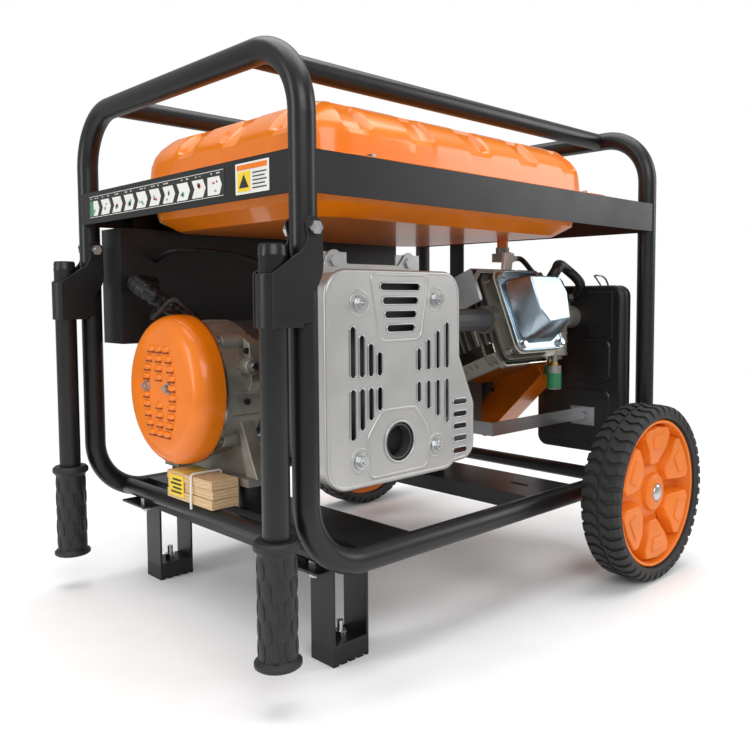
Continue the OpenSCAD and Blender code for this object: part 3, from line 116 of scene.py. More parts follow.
def wood():
    m = material("wood", (0.66, 0.46, 0.24), rough=0.72, bump=0.35, bump_scale=260, depth=0.0004)
    t = m.node_tree
    wave = t.nodes.new("ShaderNodeTexWave")
    wave.bands_direction = "Z"
    wave.inputs["Scale"].default_value = 70.0
    wave.inputs["Distortion"].default_value = 5.0
    wave.inputs["Detail"].default_value = 3.0
    wave.inputs["Detail Scale"].default_value = 1.6
    ramp = t.nodes.new("ShaderNodeValToRGB")
    ramp.color_ramp.elements[0].color = (0.56, 0.37, 0.19, 1)
    ramp.color_ramp.elements[1].color = (0.69, 0.49, 0.28, 1)
    co = next(k for k in t.nodes if k.type == "TEX_COORD")
    t.links.new(co.outputs["Object"], wave.inputs["Vector"])
    t.links.new(wave.outputs["Fac"], ramp.inputs["Fac"])
    t.links.new(ramp.outputs["Color"], t.nodes["Principled BSDF"].inputs["Base Color"])
    return m


ORANGE = (0.84, 0.205, 0.002)
MAT = {
    "powder": material("powder", (0.0070, 0.0072, 0.0080), rough=0.34, vary=0.25, bump=0.30,
                       bump_scale=1500, depth=0.00010, speck=0.10, spec=0.40),
    "sheet": material("sheet", (0.0065, 0.0067, 0.0075), rough=0.40, vary=0.3, bump=0.28,
                      bump_scale=1700, depth=0.00009, speck=0.08, spec=0.4),
    "orange": material("orange", ORANGE, rough=0.32, coat=0.40, vary=0.05, spec=0.35, bump=0.10,
                       bump_scale=420, depth=0.00012, rough_vary=0.05),
    "orange_cover": material("orange_cover", (0.82, 0.190, 0.002), rough=0.36, spec=0.35,
                             coat=0.30, vary=0.06, bump=0.18, bump_scale=600, depth=0.00012,
                             rough_vary=0.06),
    "orange_rim": material("orange_rim", (0.76, 0.175, 0.006), rough=0.46, spec=0.35,
                           coat=0.1, vary=0.07, bump=0.22, bump_scale=800, depth=0.00012),
    "shield": material("shield", (0.50, 0.495, 0.48), rough=0.42, metal=0.80, vary=0.06, bump=0.35,
                       bump_scale=1300, depth=0.00010, rough_vary=0.06),
    "galv": material("galv", (0.50, 0.51, 0.53), rough=0.30, metal=0.95, vary=0.05, vary_scale=14,
                     bump=0.2, bump_scale=1100, depth=0.0001),
    "bright": material("bright", (0.33, 0.405, 0.465), rough=0.28, metal=1.0, vary=0.08,
                       vary_scale=12, bump=0.10, bump_scale=200, depth=0.0002, rough_vary=0.05,
                       tint=(0.42, 0.52, 0.56)),
    "zinc": material("zinc", (0.52, 0.53, 0.55), rough=0.28, metal=1.0, vary=0.15, vary_scale=90,
                     bump=0.15, bump_scale=1500, depth=0.0001, tint=(0.60, 0.62, 0.60)),
    "cast": material("cast", (0.335, 0.32, 0.285), rough=0.52, metal=0.75, vary=0.14, vary_scale=30,
                     bump=0.55, bump_scale=700, depth=0.00025, rough_vary=0.12),
    "case": material("case", (0.155, 0.150, 0.132), rough=0.33, metal=0.35, vary=0.12, coat=0.3,
                     bump=0.45, bump_scale=650, depth=0.0002),
    "head": material("head", (0.21, 0.20, 0.175), rough=0.30, metal=0.65, vary=0.14, bump=0.35,
                     bump_scale=700, depth=0.0002),
    # dark orange-brown, used only as painted shade under the cover scoops
    "scoop_painted_shade": material("scoop_painted_shade", (0.20, 0.035, 0.001), rough=0.6, vary=0.1),
    "polished": material("polished", (0.40, 0.39, 0.34), rough=0.13, metal=1.0, vary=0.1,
                         vary_scale=9, bump=0.25, bump_scale=60, depth=0.0006),
    "steel": material("steel", (0.36, 0.36, 0.37), rough=0.3, metal=1.0, vary=0.1, bump=0.2,
                      bump_scale=1400),
    "iron": material("iron", (0.09, 0.09, 0.095), rough=0.6, metal=0.6, vary=0.2, bump=0.5,
                     bump_scale=500, depth=0.0003),
    "copper": material("copper", (0.55, 0.20, 0.08), rough=0.35, metal=1.0, vary=0.1, bump=0.2),
    "brass": material("brass", (0.62, 0.42, 0.14), rough=0.28, metal=1.0, vary=0.1, bump=0.2),
    "rubber": material("rubber", (0.007, 0.007, 0.0075), rough=0.45, vary=0.25, bump=0.35,
                       bump_scale=1000, spec=0.35),
    "grip": material("grip", (0.011, 0.011, 0.0122), rough=0.50, vary=0.2, bump=0.3, bump_scale=1200,
                     spec=0.45),
    "tyre": material("tyre", (0.026, 0.0255, 0.025), rough=0.66, vary=0.25, bump=0.5,
                     bump_scale=500, depth=0.0003, spec=0.4, speck=0.1),
    "plastic": material("plastic", (0.0085, 0.0087, 0.0092), rough=0.40, vary=0.2, bump=0.4,
                        bump_scale=1300, depth=0.00015),
    "ceramic": material("ceramic", (0.80, 0.79, 0.75), rough=0.2, vary=0.03, coat=0.6, bump=0.05),
    "white": material("white", (0.78, 0.77, 0.73), rough=0.45, vary=0.04, bump=0.1, bump_scale=800),
    "yellow": material("yellow", (0.86, 0.62, 0.03), rough=0.42, vary=0.05, bump=0.1),
    "ink": material("ink", (0.012, 0.012, 0.012), rough=0.42, vary=0.1, bump=0.1),
    "teal": material("teal", (0.16, 0.30, 0.32), rough=0.42, vary=0.15, bump=0.1, vary_scale=120),
    "green": material("green", (0.02, 0.20, 0.075), rough=0.25, vary=0.1, bump=0.1, coat=0.5),
    "red": material("red", (0.52, 0.03, 0.02), rough=0.35, vary=0.08, bump=0.1, coat=0.3),
    "gasket": material("gasket", (0.50, 0.46, 0.35), rough=0.6, vary=0.1, bump=0.3),
    # matte near-black, used as painted shade inside the outlet and the housing holes
    "dark": material("dark", (0.004, 0.004, 0.004), rough=0.85, vary=0.2, bump=0.2),
    "wood": wood(),
}
NODE_MAT = {
    "powder": "frame_left_hoop frame_right_hoop bottom_tubes top_rails alternator_crossmember"
              " engine_crossmember foot_brackets handle_near handle_far",
    "sheet": "tank_rails", "rubber": "foot_pads rubber_mounts", "zinc": "axle_bolts frame_bolts",
    "galv": "support_brackets cylinder_shroud", "orange": "tank_lower",
    "plastic": "fuel_cap fuel_tap_lever recoil_cover recoil_grip dipstick choke_lever panel_box"
               " panel_face panel_fittings socket_lid_a socket_lid_b breaker_switch",
    "head": "cylinder_head", "cast": "fuel_tap carburettor alternator_housing piston",
    "case": "crankcase crankcase_cover", "orange_cover": "fan_housing",
    "iron": "flywheel stator muffler", "copper": "rotor", "steel": "crankshaft connecting_rod camshaft",
    "ceramic": "spark_plug", "red": "engine_switch", "shield": "heat_shield",
}
for mat_name, nodes in NODE_MAT.items():
    for node in nodes.split():
        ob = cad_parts[node]
        ob.data.materials.clear()
        ob.data.materials.append(MAT[mat_name])


# ------------------------------------------------------------------ mesh building
def mm(p):
    """Frame coordinates in millimetres to the row frame in metres."""
    return Vector(((p[0] + 23.5) / 1000, p[1] / 1000, (p[2] + 127.5) / 1000))


def arc(c, r, a0, a1, n):
    return [(c[0] + r * math.cos(math.radians(a0 + (a1 - a0) * i / n)),
             c[1] + r * math.sin(math.radians(a0 + (a1 - a0) * i / n))) for i in range(n + 1)]


def rounded(w, h, r, n=6, c=(0, 0)):
    pts = []
    for sx, sy, a in ((1, 1, 0), (-1, 1, 90), (-1, -1, 180), (1, -1, 270)):
        pts += arc((c[0] + sx * (w / 2 - r), c[1] + sy * (h / 2 - r)), r, a, a + 90, n)
    return pts


def capsule(a, b, r, n=8):
    """Outline of a slot from a to b."""
    ang = math.degrees(math.atan2(b[1] - a[1], b[0] - a[0]))
    return arc(b, r, ang - 90, ang + 90, n) + arc(a, r, ang + 90, ang + 270, n)


PLANES = {"x": lambda u, v, w: (w, u, v), "y": lambda u, v, w: (u, w, v), "z": lambda u, v, w: (u, v, w)}


class Shape:
    """Solids gathered into one mesh piece. place is a matrix in millimetres for what comes next."""

    def __init__(self):
        self.bm = bmesh.new()
        self.place = Matrix.Identity(4)

    def verts(self, pts):
        return [self.bm.verts.new(self.place @ Vector(p)) for p in pts]

    def hull(self, pts):
        part = bmesh.new()
        for p in pts:
            part.verts.new(self.place @ Vector(p))
        bmesh.ops.convex_hull(part, input=part.verts)
        loose = [v for v in part.verts if not v.link_faces]
        bmesh.ops.delete(part, geom=loose, context="VERTS")
        bmesh.ops.dissolve_limit(part, angle_limit=0.02, verts=part.verts, edges=part.edges)
        me = bpy.data.meshes.new("part")
        part.to_mesh(me)
        part.free()
        self.bm.from_mesh(me)
        bpy.data.meshes.remove(me)

    def box(self, lo, hi):
        self.prism([(lo[0], lo[1]), (hi[0], lo[1]), (hi[0], hi[1]), (lo[0], hi[1])], "z", lo[2], hi[2])

    def prism(self, outline, axis, w0, w1, inset=0.0):
        """An outline in the plane across axis; inset pulls the far face in towards its middle."""
        f = PLANES[axis]
        k = len(outline)
        cu, cv = sum(p[0] for p in outline) / k, sum(p[1] for p in outline) / k

        def ring(w, s):
            return self.verts([f(cu + (u - cu) * s, cv + (v - cv) * s, w) for u, v in outline])
        span = max(abs(p[0] - cu) for p in outline)
        a, b = ring(w0, 1), ring(w1, 1 - inset / span)
        self.bm.faces.new(a)
        self.bm.faces.new(b[::-1])
        for i in range(k):
            self.bm.faces.new((a[i], a[(i + 1) % k], b[(i + 1) % k], b[i]))

    def revolve(self, profile, axis, c, n=64):
        """profile is (radius, position along axis); c is the centre across the axis."""
        f = PLANES[axis]
        rings = []
        for r, w in profile:
            if r < 1e-6:
                rings.append(self.verts([f(c[0], c[1], w)]))
            else:
                rings.append(self.verts([f(c[0] + r * math.cos(2 * math.pi * i / n),
                                           c[1] + r * math.sin(2 * math.pi * i / n), w)
                                         for i in range(n)]))
        for a, b in zip(rings, rings[1:]):
            for i in range(n):
                j = (i + 1) % n
                quad = [a[i % len(a)], a[j % len(a)], b[j % len(b)], b[i % len(b)]]
                quad = list(dict.fromkeys(quad))
                if len(quad) > 2:
                    self.bm.faces.new(quad)

    def cyl(self, axis, c, r, w0, w1, n=32, r1=None):
        r1 = r if r1 is None else r1
        self.revolve([(0, w0), (r, w0), (r1, w1), (0, w1)], axis, c, n)

    def hexa(self, axis, c, r, w0, w1):
        self.cyl(axis, c, r, w0, w1, 6, r * 0.93)

    def blob(self, c, radii, n=16):
        prof = [(math.sin(math.pi * i / n), -math.cos(math.pi * i / n)) for i in range(n + 1)]
        keep = self.place.copy()
        self.place = self.place @ Matrix.Translation(c) @ Matrix.Diagonal((*radii, 1))
        self.revolve([(r if 0 < i < n else 0, w) for i, (r, w) in enumerate(prof)], "z", (0, 0), 24)
        self.place = keep

    def done(self, name, mat, body="root", bevel=0.0, segments=2, sharp=32, replaces=(), slot=None):
        bmesh.ops.recalc_face_normals(self.bm, faces=self.bm.faces)
        me = bpy.data.meshes.new(name)
        for v in self.bm.verts:
            v.co = mm(v.co)
        self.bm.to_mesh(me)
        self.bm.free()
        ob = bpy.data.objects.new(name, me)
        bpy.context.scene.collection.objects.link(ob)
        me.materials.append(MAT[mat])
        me.shade_smooth()
        if sharp:
            me.set_sharp_from_angle(angle=math.radians(sharp))
        if bevel:
            b = ob.modifiers.new("bevel", "BEVEL")
            b.width, b.segments, b.limit_method = bevel / 1000, segments, "ANGLE"
            b.angle_limit = math.radians(28)
            b.harden_normals = True
        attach(ob, body)
        if replaces:
            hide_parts(*replaces)
        return ob


def smooth(points, n=6, cyclic=False):
    pts = [Vector(p) for p in points]
    k = len(pts)
    out = []
    for i in range(k if cyclic else k - 1):
        g = (lambda j: pts[j % k]) if cyclic else (lambda j: pts[max(0, min(k - 1, j))])
        a, b, c, d = g(i - 1), g(i), g(i + 1), g(i + 2)
        for s in range(n):
            t = s / n
            out.append(0.5 * (2 * b + (c - a) * t + (2 * a - 5 * b + 4 * c - d) * t * t
                              + (3 * b - a - 3 * c + d) * t ** 3))
    return out + ([] if cyclic else [pts[-1]])


def tubes(name, paths, r, mat, body="root", cyclic=False, replaces=(), sides=3,
          radii=None):
    """Round bars along paths, as one mesh piece."""
    cu = bpy.data.curves.new(name, "CURVE")
    cu.dimensions, cu.bevel_depth, cu.bevel_resolution = "3D", r / 1000, sides
    cu.use_fill_caps = True
    for path in paths:
        sp = cu.splines.new("POLY")
        sp.points.add(len(path) - 1)
        for i, (point, p) in enumerate(zip(sp.points, path)):
            point.co = (*mm(p), 1)
            point.radius = radii(i) if radii else 1.0
        sp.use_cyclic_u = cyclic
    tmp = bpy.data.objects.new(name + "_curve", cu)
    bpy.context.scene.collection.objects.link(tmp)
    me = bpy.data.meshes.new_from_object(tmp.evaluated_get(bpy.context.evaluated_depsgraph_get()))
    bpy.data.objects.remove(tmp)
    bpy.data.curves.remove(cu)
    me.name = name
    me.materials.clear()
    me.materials.append(MAT[mat])
    me.shade_smooth()
    ob = bpy.data.objects.new(name, me)
    bpy.context.scene.collection.objects.link(ob)
    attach(ob, body)
    if replaces:
        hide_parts(*replaces)
    return ob


# ------------------------------------------------------------------ fuel tank
TANK_X, TANK_Y, SEAM = (-293.0, 257.0), 205.0, 435.2


def tank_outline(step=5.0):
    """Points and outward normals round the tank, with the length run so far."""
    l, w, r = (TANK_X[1] - TANK_X[0]) / 2, TANK_Y, 55.0
    cx = (TANK_X[0] + TANK_X[1]) / 2
    pts = []
    corners = ((1, -1, -90), (1, 1, 0), (-1, 1, 90), (-1, -1, 180))
    for q, (sx, sy, a0) in enumerate(corners):
        for i in range(17):
            a = math.radians(a0 + 90 * i / 16)
            pts.append(((cx + sx * (l - r) + r * math.cos(a), sy * (w - r) + r * math.sin(a)),
                        (math.cos(a), math.sin(a))))
        nx, ny, _ = corners[(q + 1) % 4]
        a = math.radians(a0 + 90)
        start = pts[-1][0]
        end = (cx + nx * (l - r) + r * math.cos(a), ny * (w - r) + r * math.sin(a))
        gap = math.dist(start, end)
        count = int(gap / step)
        for i in range(1, count):
            t = i / count
            pts.append(((start[0] + (end[0] - start[0]) * t, start[1] + (end[1] - start[1]) * t),
                        (math.cos(a), math.sin(a))))
    run, out = 0.0, []
    for i, (p, nrm) in enumerate(pts):
        if i:
            run += math.dist(p, pts[i - 1][0])
        out.append((p, nrm, run))
    return out, run + math.dist(pts[-1][0], pts[0][0])


outline, around = tank_outline()
WAVES = 17


def wave(run):
    """1 on a raised panel, 0 in the groove between two, with short slopes."""
    t = (run / around * WAVES) % 1.0
    return min(1.0, max(0.0, (abs(t - 0.5) - 0.30) / 0.055))


tank = Shape()
LEVELS = [(SEAM, 0, 0), (440, 0.6, 0), (455, 1.6, 0), (468, 3.0, 0), (476, 5, 0.35), (480, 7, 1.0),
          (490, 15, 1.0), (500, 27, 1.0), (504.5, 33, 0.7), (507.5, 38, 0.15),
          (509, 45, 0), (509.2, 52, 0)]
rings = [tank.verts([(p[0] - n[0] * (inset + 7.5 * bell * wave(run)),
                      p[1] - n[1] * (inset + 7.5 * bell * wave(run)), z - 3.0 * bell * wave(run))
                     for p, n, run in outline]) for z, inset, bell in LEVELS]
for a, b in zip(rings, rings[1:]):
    for i in range(len(a)):
        j = (i + 1) % len(a)
        tank.bm.faces.new((a[i], a[j], b[j], b[i]))
tank.bm.faces.new(rings[-1])
tank.done("tank_shell", "orange", sharp=22, replaces=["tank_upper"], slot="tank_orange")
seam = Shape()
seam.prism(rounded(586, 480, 55, 12, ((TANK_X[0] + TANK_X[1]) / 2, 0)), "z", SEAM, SEAM + 1.2)
seam.revolve([(27, 505), (27, 523.2), (29, 523.2), (29, 505)], "z", (-10, 0), 48)
for dx, dy in ((-150, 60), (130, -60), (130, 70), (-150, -70)):
    seam.prism(rounded(120, 70, 16, 5, (dx - 18, dy)), "z", 508.5, 511.0, inset=4)
seam.done("tank_flange", "orange", bevel=0.5, slot="tank_orange")

# ------------------------------------------------------------------ alternator end cover
CY, CZ = 75.0, 163.0
dish = Shape()
profile = [(91, -292), (99.4, -292), (99.4, -301)] + [
    (74.5 + 24.5 * math.cos(math.radians(a)), -307 - 24.5 * math.sin(math.radians(a)))
    for a in range(0, 91, 9)] + [(40, -332), (0, -332.2)]
dish.revolve(profile, "x", (CY, CZ), 96)
dish.done("end_cover", "orange_cover", sharp=40, replaces=["louvre_cover"], slot="tank_orange")
scoops, scoop_shades = Shape(), Shape()
rows = [(c, k) for c in (-35, 35) for k in range(-4, 6)] + [(0, k) for k in (-4, -3, -2, -1, 2, 3, 4, 5)]
for dy, k in rows:
    z = CZ + (k - 0.5) * 12.2
    y = CY + dy * (1.0 - 0.022 * (k - 0.5) ** 2 * (dy != 0))
    scoops.blob((-331.6, y, z), (4.2, 10.5, 4.4), 10)
    # a thin dark orange-brown strip under each scoop is painted shade, not an opening
    scoop_shades.box((-333.6, y - 8, z - 5.2), (-332.0, y + 8, z - 4.0))
scoops.done("cover_scoops", "orange_cover", sharp=0)
scoop_shades.done("cover_scoop_painted_shade", "scoop_painted_shade", sharp=0)
screws = Shape()
for dy in (-24, 31):
    screws.cyl("x", (CY + dy, CZ + 5), 7.4, -333.4, -332.0)
    screws.hexa("x", (CY + dy, CZ + 5), 5.4, -333.0, -338.2)
    screws.cyl("x", (CY + dy, CZ + 5), 2.2, -338.0, -340.2, 16)
screws.revolve([(100.4, -294), (100.4, -291), (95, -291)], "x", (CY, CZ), 96)
screws.done("cover_screws", "zinc")

# alternator housing: through bolts, drilled lugs, ribs and a gusset down to the foot
lugs, bolts, hole_shades = Shape(), Shape(), Shape()
for a in (45, 135, 225, 315):
    y, z = CY + 89 * math.cos(math.radians(a)), CZ + 89 * math.sin(math.radians(a))
    lugs.cyl("x", (y, z), 10, -281, -250, 24, 12)
    bolts.hexa("x", (y, z), 6.2, -286.5, -281)
    bolts.cyl("x", (y, z), 3.0, -234, -70, 16)
for a in range(0, 360, 20):
    y, z = CY + 88 * math.cos(math.radians(a)), CZ + 88 * math.sin(math.radians(a))
    lugs.place = Matrix.Translation((-258, y, z)) @ Matrix.Rotation(math.radians(a), 4, "X")
    lugs.box((-18, -5, -1.6), (22, 4.5, 1.6))
lugs.place = Matrix.Identity(4)
lugs.prism([(CY - 118, 52), (CY - 92, 52), (CY - 74, 118), (CY - 80, 128), (CY - 96, 96)],
           "x", -262, -242)
lugs.prism([(CY - 99, 176), (CY - 86, 150), (CY - 80, 232), (CY - 94, 226)], "x", -256, -240)
lugs.cyl("y", (-256, 196), 11, CY - 104, CY - 84, 24)
bolts.hexa("y", (-256, 196), 6, CY - 109, CY - 104)
# near-black discs on the gusset stand for its two holes as painted shade
for z in (150, 216):
    hole_shades.cyl("y", (-258, z), 4, CY - 93.5, CY - 90)
lugs.done("housing_lugs", "cast", bevel=1.4, slot="cast_aluminium")
bolts.done("housing_bolts", "zinc", bevel=0.4)
hole_shades.done("housing_hole_painted_shade", "dark", sharp=0)

# ------------------------------------------------------------------ heat shield
SX, SY, SZ = -291.0, -222.0, 72.0
edge = (arc((SX + 26, SZ + 214), 26, 180, 90, 8) + arc((SX + 184, SZ + 214), 26, 90, 0, 8)
        + [(SX + 210, SZ + 138), (SX + 238, SZ + 76)] + arc((SX + 220, SZ + 26), 18, 0, -90, 6)
        + [(SX + 203, SZ + 7)] + arc((SX + 184, SZ + 26), 26, -50, -90, 4)
        + arc((SX + 26, SZ + 26), 26, 270, 180, 8))
tubes("shield_edge", [[(x, SY + 2.6, z) for x, z in edge]], 3.4, "shield", cyclic=True, sides=4)


def along_shield(pts, y=SY - 0.2):
    return [(SX + u, y, SZ + v) for u, v in pts]


slots = []
for k in range(4):
    slots.append(capsule((81 + 3.5 * k, 224 - 16 * k), (137 - 3 * k, 224 - 16 * k), 4.6))
    x, x2 = 35 + 13.5 * k, 189 - 16.5 * k
    slots.append(capsule((x, 126), (x, 176 - 10 * k), 4.2))
    slots.append(capsule((x, 56 + 10 * k), (x, 106), 4.2))
    slots.append(capsule((x2, 127), (x2, 178 - 10 * k), 3.6))
    slots.append(capsule((x2, 59 + 10 * k), (x2, 108), 3.6))
slots += [capsule((204, 18 + 15.5 * k), (223, 18 + 15.5 * k), 3.9) for k in range(5)]
tubes("shield_slot_lips", [along_shield(s) for s in slots], 1.0, "galv", cyclic=True)
panels = [[(62, 238), (156, 238), (143, 162), (77, 162)],
          [(60, 6), (56, 52), (80, 82), (134, 82), (158, 52), (154, 6)]]


def round_corners(pts, r=9.0, n=5):
    out = []
    for i, p in enumerate(pts):
        a, b = Vector(pts[i - 1]), Vector(pts[(i + 1) % len(pts)])
        c = Vector(p)
        u, v = (a - c).normalized() * r, (b - c).normalized() * r
        out += [tuple(c + u * (1 - t) ** 2 + v * t ** 2) for t in [j / n for j in range(n + 1)]]
    return out


tubes("shield_creases", [along_shield(round_corners(p), SY + 1.3) for p in panels], 2.6, "shield",
      cyclic=True)
shield_bolts, dimples = Shape(), []
for u, v in ((46, 205), (170, 209), (46, 28), (170, 30)):
    shield_bolts.cyl("y", (SX + u, SZ + v), 9.5, SY - 0.1, SY - 1.8)
    shield_bolts.hexa("y", (SX + u, SZ + v), 6.9, SY - 1.8, SY - 7.2)
    shield_bolts.cyl("y", (SX + u, SZ + v), 3.2, SY - 7.0, SY - 9.4, 16)
    dimples.append(arc((u, v), 14.0, 0, 345, 23))
shield_bolts.done("shield_bolts", "zinc", bevel=0.4)
tubes("shield_dimples", [along_shield(d, SY + 0.6) for d in dimples], 1.5, "shield", cyclic=True)
tubes("outlet_lip", [along_shield(arc((107, 43), 24.2, 0, 350, 35))], 1.8, "shield", cyclic=True)
tab_line = ([(SX + 22, 300)] + arc((SX + 44, 326), 13, 170, 60, 6) + [(SX + 60, 327), (SX + 64, 323),
            (SX + 146, 323), (SX + 150, 327)] + arc((SX + 164, 326), 13, 120, 10, 6) + [(SX + 190, 300)])
strip = Shape()
strip.prism(tab_line, "y", -181.2, -179.2)
strip.done("shield_tab", "shield", bevel=0.6, slot="shield_steel")
# a near-black disc behind the outlet ring: painted shade inside the opening
outlet_shade_disc = Shape()
outlet_shade_disc.cyl("y", (SX + 107, SZ + 43), 18.8, SY + 14, SY + 15)
outlet_shade_disc.done("outlet_painted_shade", "dark", sharp=0)

# ------------------------------------------------------------------ valve cover and cylinder
TILT = math.radians(90 - 22)
CYL = Matrix.Translation((133, CY, CZ)) @ Matrix.Rotation(TILT, 4, "X")
FLANGE = 267.0
cover = Shape()
cover.place = CYL
base = rounded(92, 102, 20, 2)
cover.hull([(u, v, FLANGE + 4) for u, v in base] + [(u * 0.93, v * 0.93, FLANGE + 16) for u, v in base]
           + [(4 + u, 2 + v, FLANGE + 44) for u, v in
              ((-34, 36), (36, 36), (44, 10), (30, -30), (-22, -34), (-38, -14))])
cover.done("rocker_cover", "bright", bevel=4.5, segments=4, sharp=0, replaces=["valve_cover"],
           slot="polished_cover")
rim = Shape()
rim.place = CYL
rim.prism(rounded(112, 126, 15), "z", FLANGE, FLANGE + 4)
rim.done("rocker_cover_flange", "bright", bevel=1.2, segments=3)
tubes("rocker_cover_rim", [[CYL @ Vector((u, v, FLANGE + 4)) for u, v in rounded(109, 123, 14, 5)]],
      1.8, "bright", cyclic=True)
cyl_bolts, gasket = Shape(), Shape()
cyl_bolts.place = gasket.place = CYL
for i in (-1, 1):
    for j in (-1, 1):
        cyl_bolts.cyl("z", (i * 45.5, j * 54), 7.5, FLANGE + 4, FLANGE + 5.6)
        cyl_bolts.hexa("z", (i * 45.5, j * 54), 5.8, FLANGE + 5.6, FLANGE + 11.5)
        cyl_bolts.hexa("z", (i * 50, j * 54), 6.0, 245, 256)
cyl_bolts.done("cylinder_bolts", "zinc", bevel=0.4)
gasket.prism(rounded(118, 124, 15), "z", 203.5, 206.5)
gasket.prism(rounded(116, 130, 15), "z", FLANGE - 1.2, FLANGE - 0.1)
gasket.done("gaskets", "gasket", bevel=0.3)
lip = Shape()
lip.box((57.5, -7, 67), (60.5, 199.5, 184))
lip.done("case_gasket", "gasket", bevel=0.4)
pan = Shape()
pan.place = CYL
pan.prism([(-64, -32), (-64, -50), (-48, -70), (50, -70), (65, -50), (65, 12), (63, 12), (63, -49),
           (49, -68), (-47, -68), (-62, -49), (-62, -32)], "z", 130, 230)
pan.prism([(-66, -36), (-66, -51), (-49, -73), (51, -73), (67, -51), (67, 6), (65, 6), (65, -50),
           (50, -70), (-48, -70), (-64, -50), (-64, -36)], "z", 224, 236)
pan.done("cylinder_lower_shroud", "polished", bevel=1.0)
tab = Shape()
tab.place = CYL
tab.prism([(-86, 24), (-86, 60), (-70, 72), (60, 72), (60, 66), (-66, 66), (-80, 54), (-80, 24)],
          "z", 252, 254)
tab.place = Matrix.Identity(4)
tab.done("shroud_lip", "galv", bevel=0.5)
case_bolts = Shape()
for a in range(20, 360, 45):
    y, z = CY + 78 * math.cos(math.radians(a)), CZ + 78 * math.sin(math.radians(a))
    case_bolts.hexa("x", (y, z), 6, 40, 34)
for y, z in ((-1, 80), (60, 76), (130, 76), (190, 90), (190, 170)):
    case_bolts.hexa("x", (y, z), 6, 44.5, 38)
case_bolts.done("case_bolts", "zinc", bevel=0.4)

# ------------------------------------------------------------------ intake
PX, PY, PZ = 199.0, -142.9, 251.0
fittings, brass, green = Shape(), Shape(), Shape()
fittings.box((PX + 18, PY - 27, PZ - 4), (PX + 36, PY - 23, PZ + 12))
for du in (16, 42):
    fittings.cyl("y", (PX + du, PZ + 2), 4.2, PY - 27, PY - 23, 16)
fittings.cyl("z", (PX + 46, PY - 12), 5.5, PZ + 10, PZ + 24.5, 24)
for dz in (-60, -40, -27):
    fittings.revolve([(22.8, PZ + dz), (24.2, PZ + dz + 1), (24.2, PZ + dz + 3), (22.8, PZ + dz + 4)],
                     "z", (PX + 30, PY - 6), 40)
fittings.done("carburettor_details", "cast", bevel=0.7, slot="cast_aluminium")
brass.hexa("z", (PX + 30, PY - 6), 8, PZ - 66, PZ - 74)
brass.hexa("y", (PX + 24, PZ - 14), 5.5, PY - 24, PY - 31)
brass.cyl("z", (PX + 16, PY - 20), 6.5, PZ - 76, PZ - 70, 20)
brass.done("carburettor_brass", "brass", bevel=0.5)
green.cyl("z", (PX + 30, PY - 6), 11.5, PZ - 92, PZ - 75, 28, 12.5)
green.cyl("z", (PX + 16, PY - 20), 11.6, PZ - 111, PZ - 86, 24)
green.done("fuel_cup", "green", bevel=1.2)
tubes("throttle_rod", [[(PX + 20, PY - 28, PZ + 18), (PX + 24, PY - 30, PZ + 30),
                        (PX - 10, PY - 34, PZ + 34)],
                       [(PX + 22, PY - 29, PZ - 2), (PX + 26, PY - 31, PZ + 16)]], 1.6, "zinc")
choke = Shape()
choke.place = Matrix.Translation((245, PY - 12, PZ))
choke.cyl("z", (0, 0), 3, 12, 26, 20)
choke.prism([(-4, 5), (5, 2), (3, -6), (-20, -36), (-34, -40), (-36, -30), (-26, -24)], "z", 25, 29)
choke.cyl("z", (-27, -33), 6.5, 29, 37, 20, 5)
choke.done("choke_handle", "plastic", "choke_lever", bevel=1.0, replaces=["choke_lever"],
           slot="black_plastic")
BX, BY, BZ = (292.0, 326.0), (-234.0, -75.0), (30.0, 302.0)
mid = ((BY[0] + BY[1]) / 2, (BZ[0] + BZ[1]) / 2)
filter_box, clips = Shape(), []
filter_box.prism(rounded(BY[1] - BY[0], BZ[1] - BZ[0], 18, 8, mid), "x", BX[0], BX[0] + 19)
filter_box.done("filter_box", "plastic", bevel=4, segments=4, replaces=["air_cleaner_box"],
                slot="black_plastic")
lid = Shape()
lid.prism(rounded(BY[1] - BY[0], BZ[1] - BZ[0], 18, 8, mid), "x", BX[0] + 20, BX[1])
lid.done("filter_lid", "plastic", bevel=5, segments=4, replaces=["air_cleaner_cover"],
         slot="black_plastic")
panel = Shape()
for z0, z1 in ((48, 132), (146, 214)):
    panel.prism(rounded(120, z1 - z0, 12, 6, (mid[0], (z0 + z1) / 2)), "x",
                BX[0] - 2.2, BX[0] + 1, inset=-3)
panel.box((BX[0] - 1.6, BY[0] + 14, 218), (BX[0] + 1, BY[0] + 60, 292))
panel.done("filter_panels", "plastic", bevel=1.6, segments=3)
for y in (BY[0] + 40, BY[1] - 34):
    clips.append(smooth([(BX[0] + 17, y - 7, BZ[1] + 1), (BX[0] + 6, y - 8, BZ[1] + 11),
                         (BX[0] - 3, y - 6, BZ[1] + 15), (BX[0] - 6, y, BZ[1] + 16),
                         (BX[0] - 3, y + 6, BZ[1] + 15), (BX[0] + 6, y + 8, BZ[1] + 11),
                         (BX[0] + 17, y + 7, BZ[1] + 1)]))
tubes("filter_clips", clips, 1.5, "zinc")

# ------------------------------------------------------------------ hoses and the cable boot
boot = smooth([(-273, 201, 303), (-313, 169, 305), (-319, 129, 293), (-283, 115, 267),
               (-259, 93, 246)], 16)
tubes("hose_fuel", [smooth([(248, -60, 348.2), (261, -66, 345), (257, -101, 313), (235, -141, 297),
                            (227, -147, 270.5)], 8)], 4.5, "rubber", replaces=["hoses"])


def cyl_point(u, v, w):
    return CYL @ Vector((u, v, FLANGE + w))


